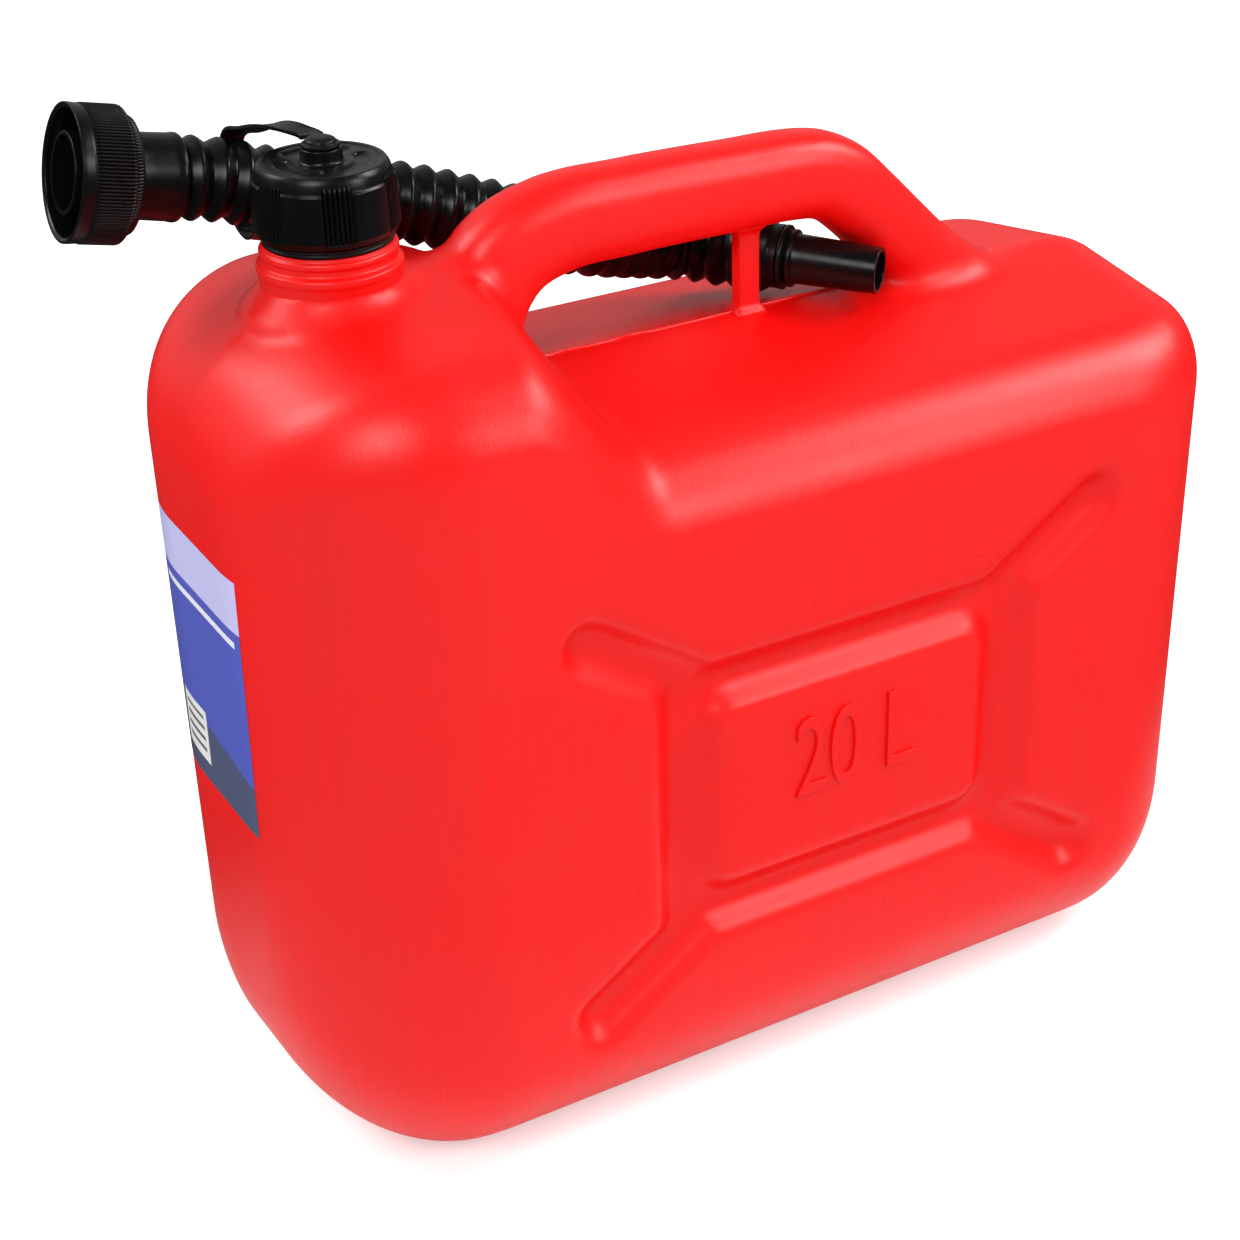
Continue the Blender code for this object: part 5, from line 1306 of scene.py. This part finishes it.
def label_paper():
    """The label's print: a pale band, a blue field, a slate foot and a white block with rules."""
    material, tree, shader = new_material("label_print")
    place = add(tree, "ShaderNodeUVMap", uv_map="label").outputs["UV"]
    split = add(tree, "ShaderNodeSeparateXYZ", {"Vector": place})
    across, up = split.outputs["X"], split.outputs["Y"]

    def between(value, low, high):
        return maths(tree, "MULTIPLY", maths(tree, "GREATER_THAN", value, low),
                     maths(tree, "LESS_THAN", value, high))

    def box(left, right, low, high):
        return maths(tree, "MULTIPLY", between(across, left, right), between(up, low, high))

    slant = maths(tree, "ADD", up, maths(tree, "MULTIPLY", across, SLATE_SLANT_share))
    rules = maths(tree, "FRACT", maths(tree, "MULTIPLY", up, RULES_PER_HEIGHT), 0.0)
    rules = maths(tree, "MULTIPLY", maths(tree, "GREATER_THAN", rules, RULE_GAP_share), box(*RULES_shares))
    colour = tint(tree, maths(tree, "GREATER_THAN", slant, SLATE_TOP_share), SLATE, BLUE)
    for place, paint in ((maths(tree, "GREATER_THAN", up, BAND_FOOT_share), PALE_BLUE),
                         (box(*BLOCK_shares), BLOCK_WHITE), (rules, RULE_GREY),
                         (box(*STRIPE_shares), STRIPE_WHITE)):
        colour = tint(tree, place, colour, paint)
    tree.links.new(colour, shader.inputs["Base Color"])
    shader.inputs["Roughness"].default_value = LABEL_ROUGHNESS
    return material


def camera():
    """The camera of the photograph, from its place, azimuth, pitch and roll."""
    data = bpy.data.cameras.new("camera")
    data.lens = CAMERA_LENS_MM
    data.sensor_width = CAMERA_SENSOR_MM
    data.shift_x = CAMERA_SHIFT_X
    data.shift_y = CAMERA_SHIFT_Y
    data.clip_end = CAMERA_CLIP_END
    item = put("camera", data)
    forward = Vector(heading(math.pi / 2 - CAMERA_AZIMUTH, CAMERA_PITCH))
    right = Vector((math.cos(CAMERA_AZIMUTH), -math.sin(CAMERA_AZIMUTH), 0))
    up = right.cross(forward)
    turned_right = right * math.cos(CAMERA_ROLL) + up * math.sin(CAMERA_ROLL)
    turned_up = up * math.cos(CAMERA_ROLL) - right * math.sin(CAMERA_ROLL)
    turn = Matrix((turned_right, turned_up, -forward)).transposed().to_4x4()
    item.matrix_world = Matrix.Translation(CAMERA_PLACE) @ turn
    bpy.context.scene.camera = item


def lamp(name, place, size, power):
    """A square soft lamp that faces the can."""
    data = bpy.data.lights.new(name, "AREA")
    data.shape = "SQUARE"
    data.size = size
    data.energy = power
    item = put(name, data)
    item.location = place
    item.rotation_euler = (Vector(LAMP_TARGET) - Vector(place)).to_track_quat("-Z", "Y").to_euler()


def seen_rays(tree):
    """The light path's node, and a flag for the rays that see the surround as it is."""
    rays = add(tree, "ShaderNodeLightPath").outputs
    return rays, maths(tree, "MAXIMUM", rays["Is Camera Ray"], rays["Is Transmission Ray"])


def floor():
    """A pale floor with a faint glow, darker away from the can for glossy rays only."""
    mesh = bpy.data.meshes.new("floor")
    corners = [(x * FLOOR_HALF_SIDE, y * FLOOR_HALF_SIDE, 0) for x, y in ((-1, -1), (1, -1), (1, 1), (-1, 1))]
    mesh.from_pydata(corners, [], [(0, 1, 2, 3)])
    material, tree, shader = new_material("floor_paint")
    place = add(tree, "ShaderNodeTexCoord").outputs["Object"]
    oval = add(tree, "ShaderNodeMapping", {"Vector": place, "Scale": FLOOR_OVAL}).outputs["Vector"]
    reach, apart = (add(tree, "ShaderNodeVectorMath", {"Vector": vector}, operation="LENGTH").outputs["Value"]
                    for vector in (place, oval))
    rays, seen = seen_rays(tree)
    dark = maths(tree, "MULTIPLY", ranged(tree, apart, FLOOR_DARK_FROM, FLOOR_DARK_TO), rays["Is Glossy Ray"])
    glow = maths(tree, "MULTIPLY", ranged(tree, reach, *FLOOR_GLOW), seen)
    tree.links.new(tint(tree, dark, FLOOR_PALE, FLOOR_DARK), shader.inputs["Base Color"])
    tree.links.new(glow, shader.inputs["Emission Strength"])
    shader.inputs["Emission Color"].default_value = (1, 1, 1, 1)
    shader.inputs["Roughness"].default_value = FLOOR_ROUGHNESS
    shader.inputs["Specular IOR Level"].default_value = 0
    mesh.materials.append(material)
    put("floor", mesh)


def surround():
    """A white surround: full for what looks at it, weaker as light, and a sheen from behind."""
    world = bpy.data.worlds.new("surround")
    bpy.context.scene.world = world
    world.use_nodes = True
    tree = world.node_tree
    background = tree.nodes["Background"]
    rays, seen = seen_rays(tree)
    way = add(tree, "ShaderNodeTexCoord").outputs["Generated"]
    behind = add(tree, "ShaderNodeSeparateXYZ", {"Vector": way}).outputs["Y"]
    sheen = maths(tree, "MULTIPLY", ranged(tree, behind, *SURROUND_SHEEN), rays["Is Glossy Ray"])
    fill = maths(tree, "MULTIPLY", rays["Is Diffuse Ray"], SURROUND_FILL)
    strength = maths(tree, "MAXIMUM", maths(tree, "MAXIMUM", seen, sheen), fill)
    background.inputs["Color"].default_value = (1, 1, 1, 1)
    tree.links.new(strength, background.inputs["Strength"])


def build_scene():
    """Dress every solid, and set the camera and the studio."""
    materials = {slot: plastic(slot + "_finish", *values) for slot, values in FINISHES.items()}
    materials["paper_label"] = label_paper()
    red, black, soft = "red_polyethylene", "black_polyethylene", "soft_black_polyethylene"
    skin = show(materials, hollowed(skin_mesh()), red, "can", "can_body")
    for make, slot, body, *nodes in (
            (neck_mesh, red, "can", "can_body"), (post_mesh, red, "can", "can_body"),
            (mould_seam, red, "can"), (pips_mesh, red, "can"), (figures_mesh, red, "can"),
            (lambda: label_mesh(skin), "paper_label", "can"),
            (cap_mesh, black, "cap", "cap_shell"), (ring_mesh, soft, "can", "tether_ring"),
            (button_mesh, soft, "tether_top", "tether_button"), (hose_mesh, black, "spout", "spout_hose"),
            (collar_mesh, black, "spout", "spout_hose"), (nozzle_mesh, black, "spout", "spout_nozzle"),
            (nut_mesh, black, "nut", "spout_nut")):
        show(materials, make(), slot, body, *nodes)
    strap, top, bottom = strap_mesh()
    item = put("tether_band_strap", strap)
    strap.materials.append(materials[soft])
    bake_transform(item)
    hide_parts("tether_strap")
    for name in ("cap_seal", "spout_seal"):
        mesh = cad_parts[name].data
        mesh.materials.clear()
        mesh.materials.append(materials["gasket_foam"])
    camera()
    floor()
    surround()
    for values in LAMPS:
        lamp(*values)
    bpy.context.scene.view_settings.view_transform = "Standard"


build_scene()
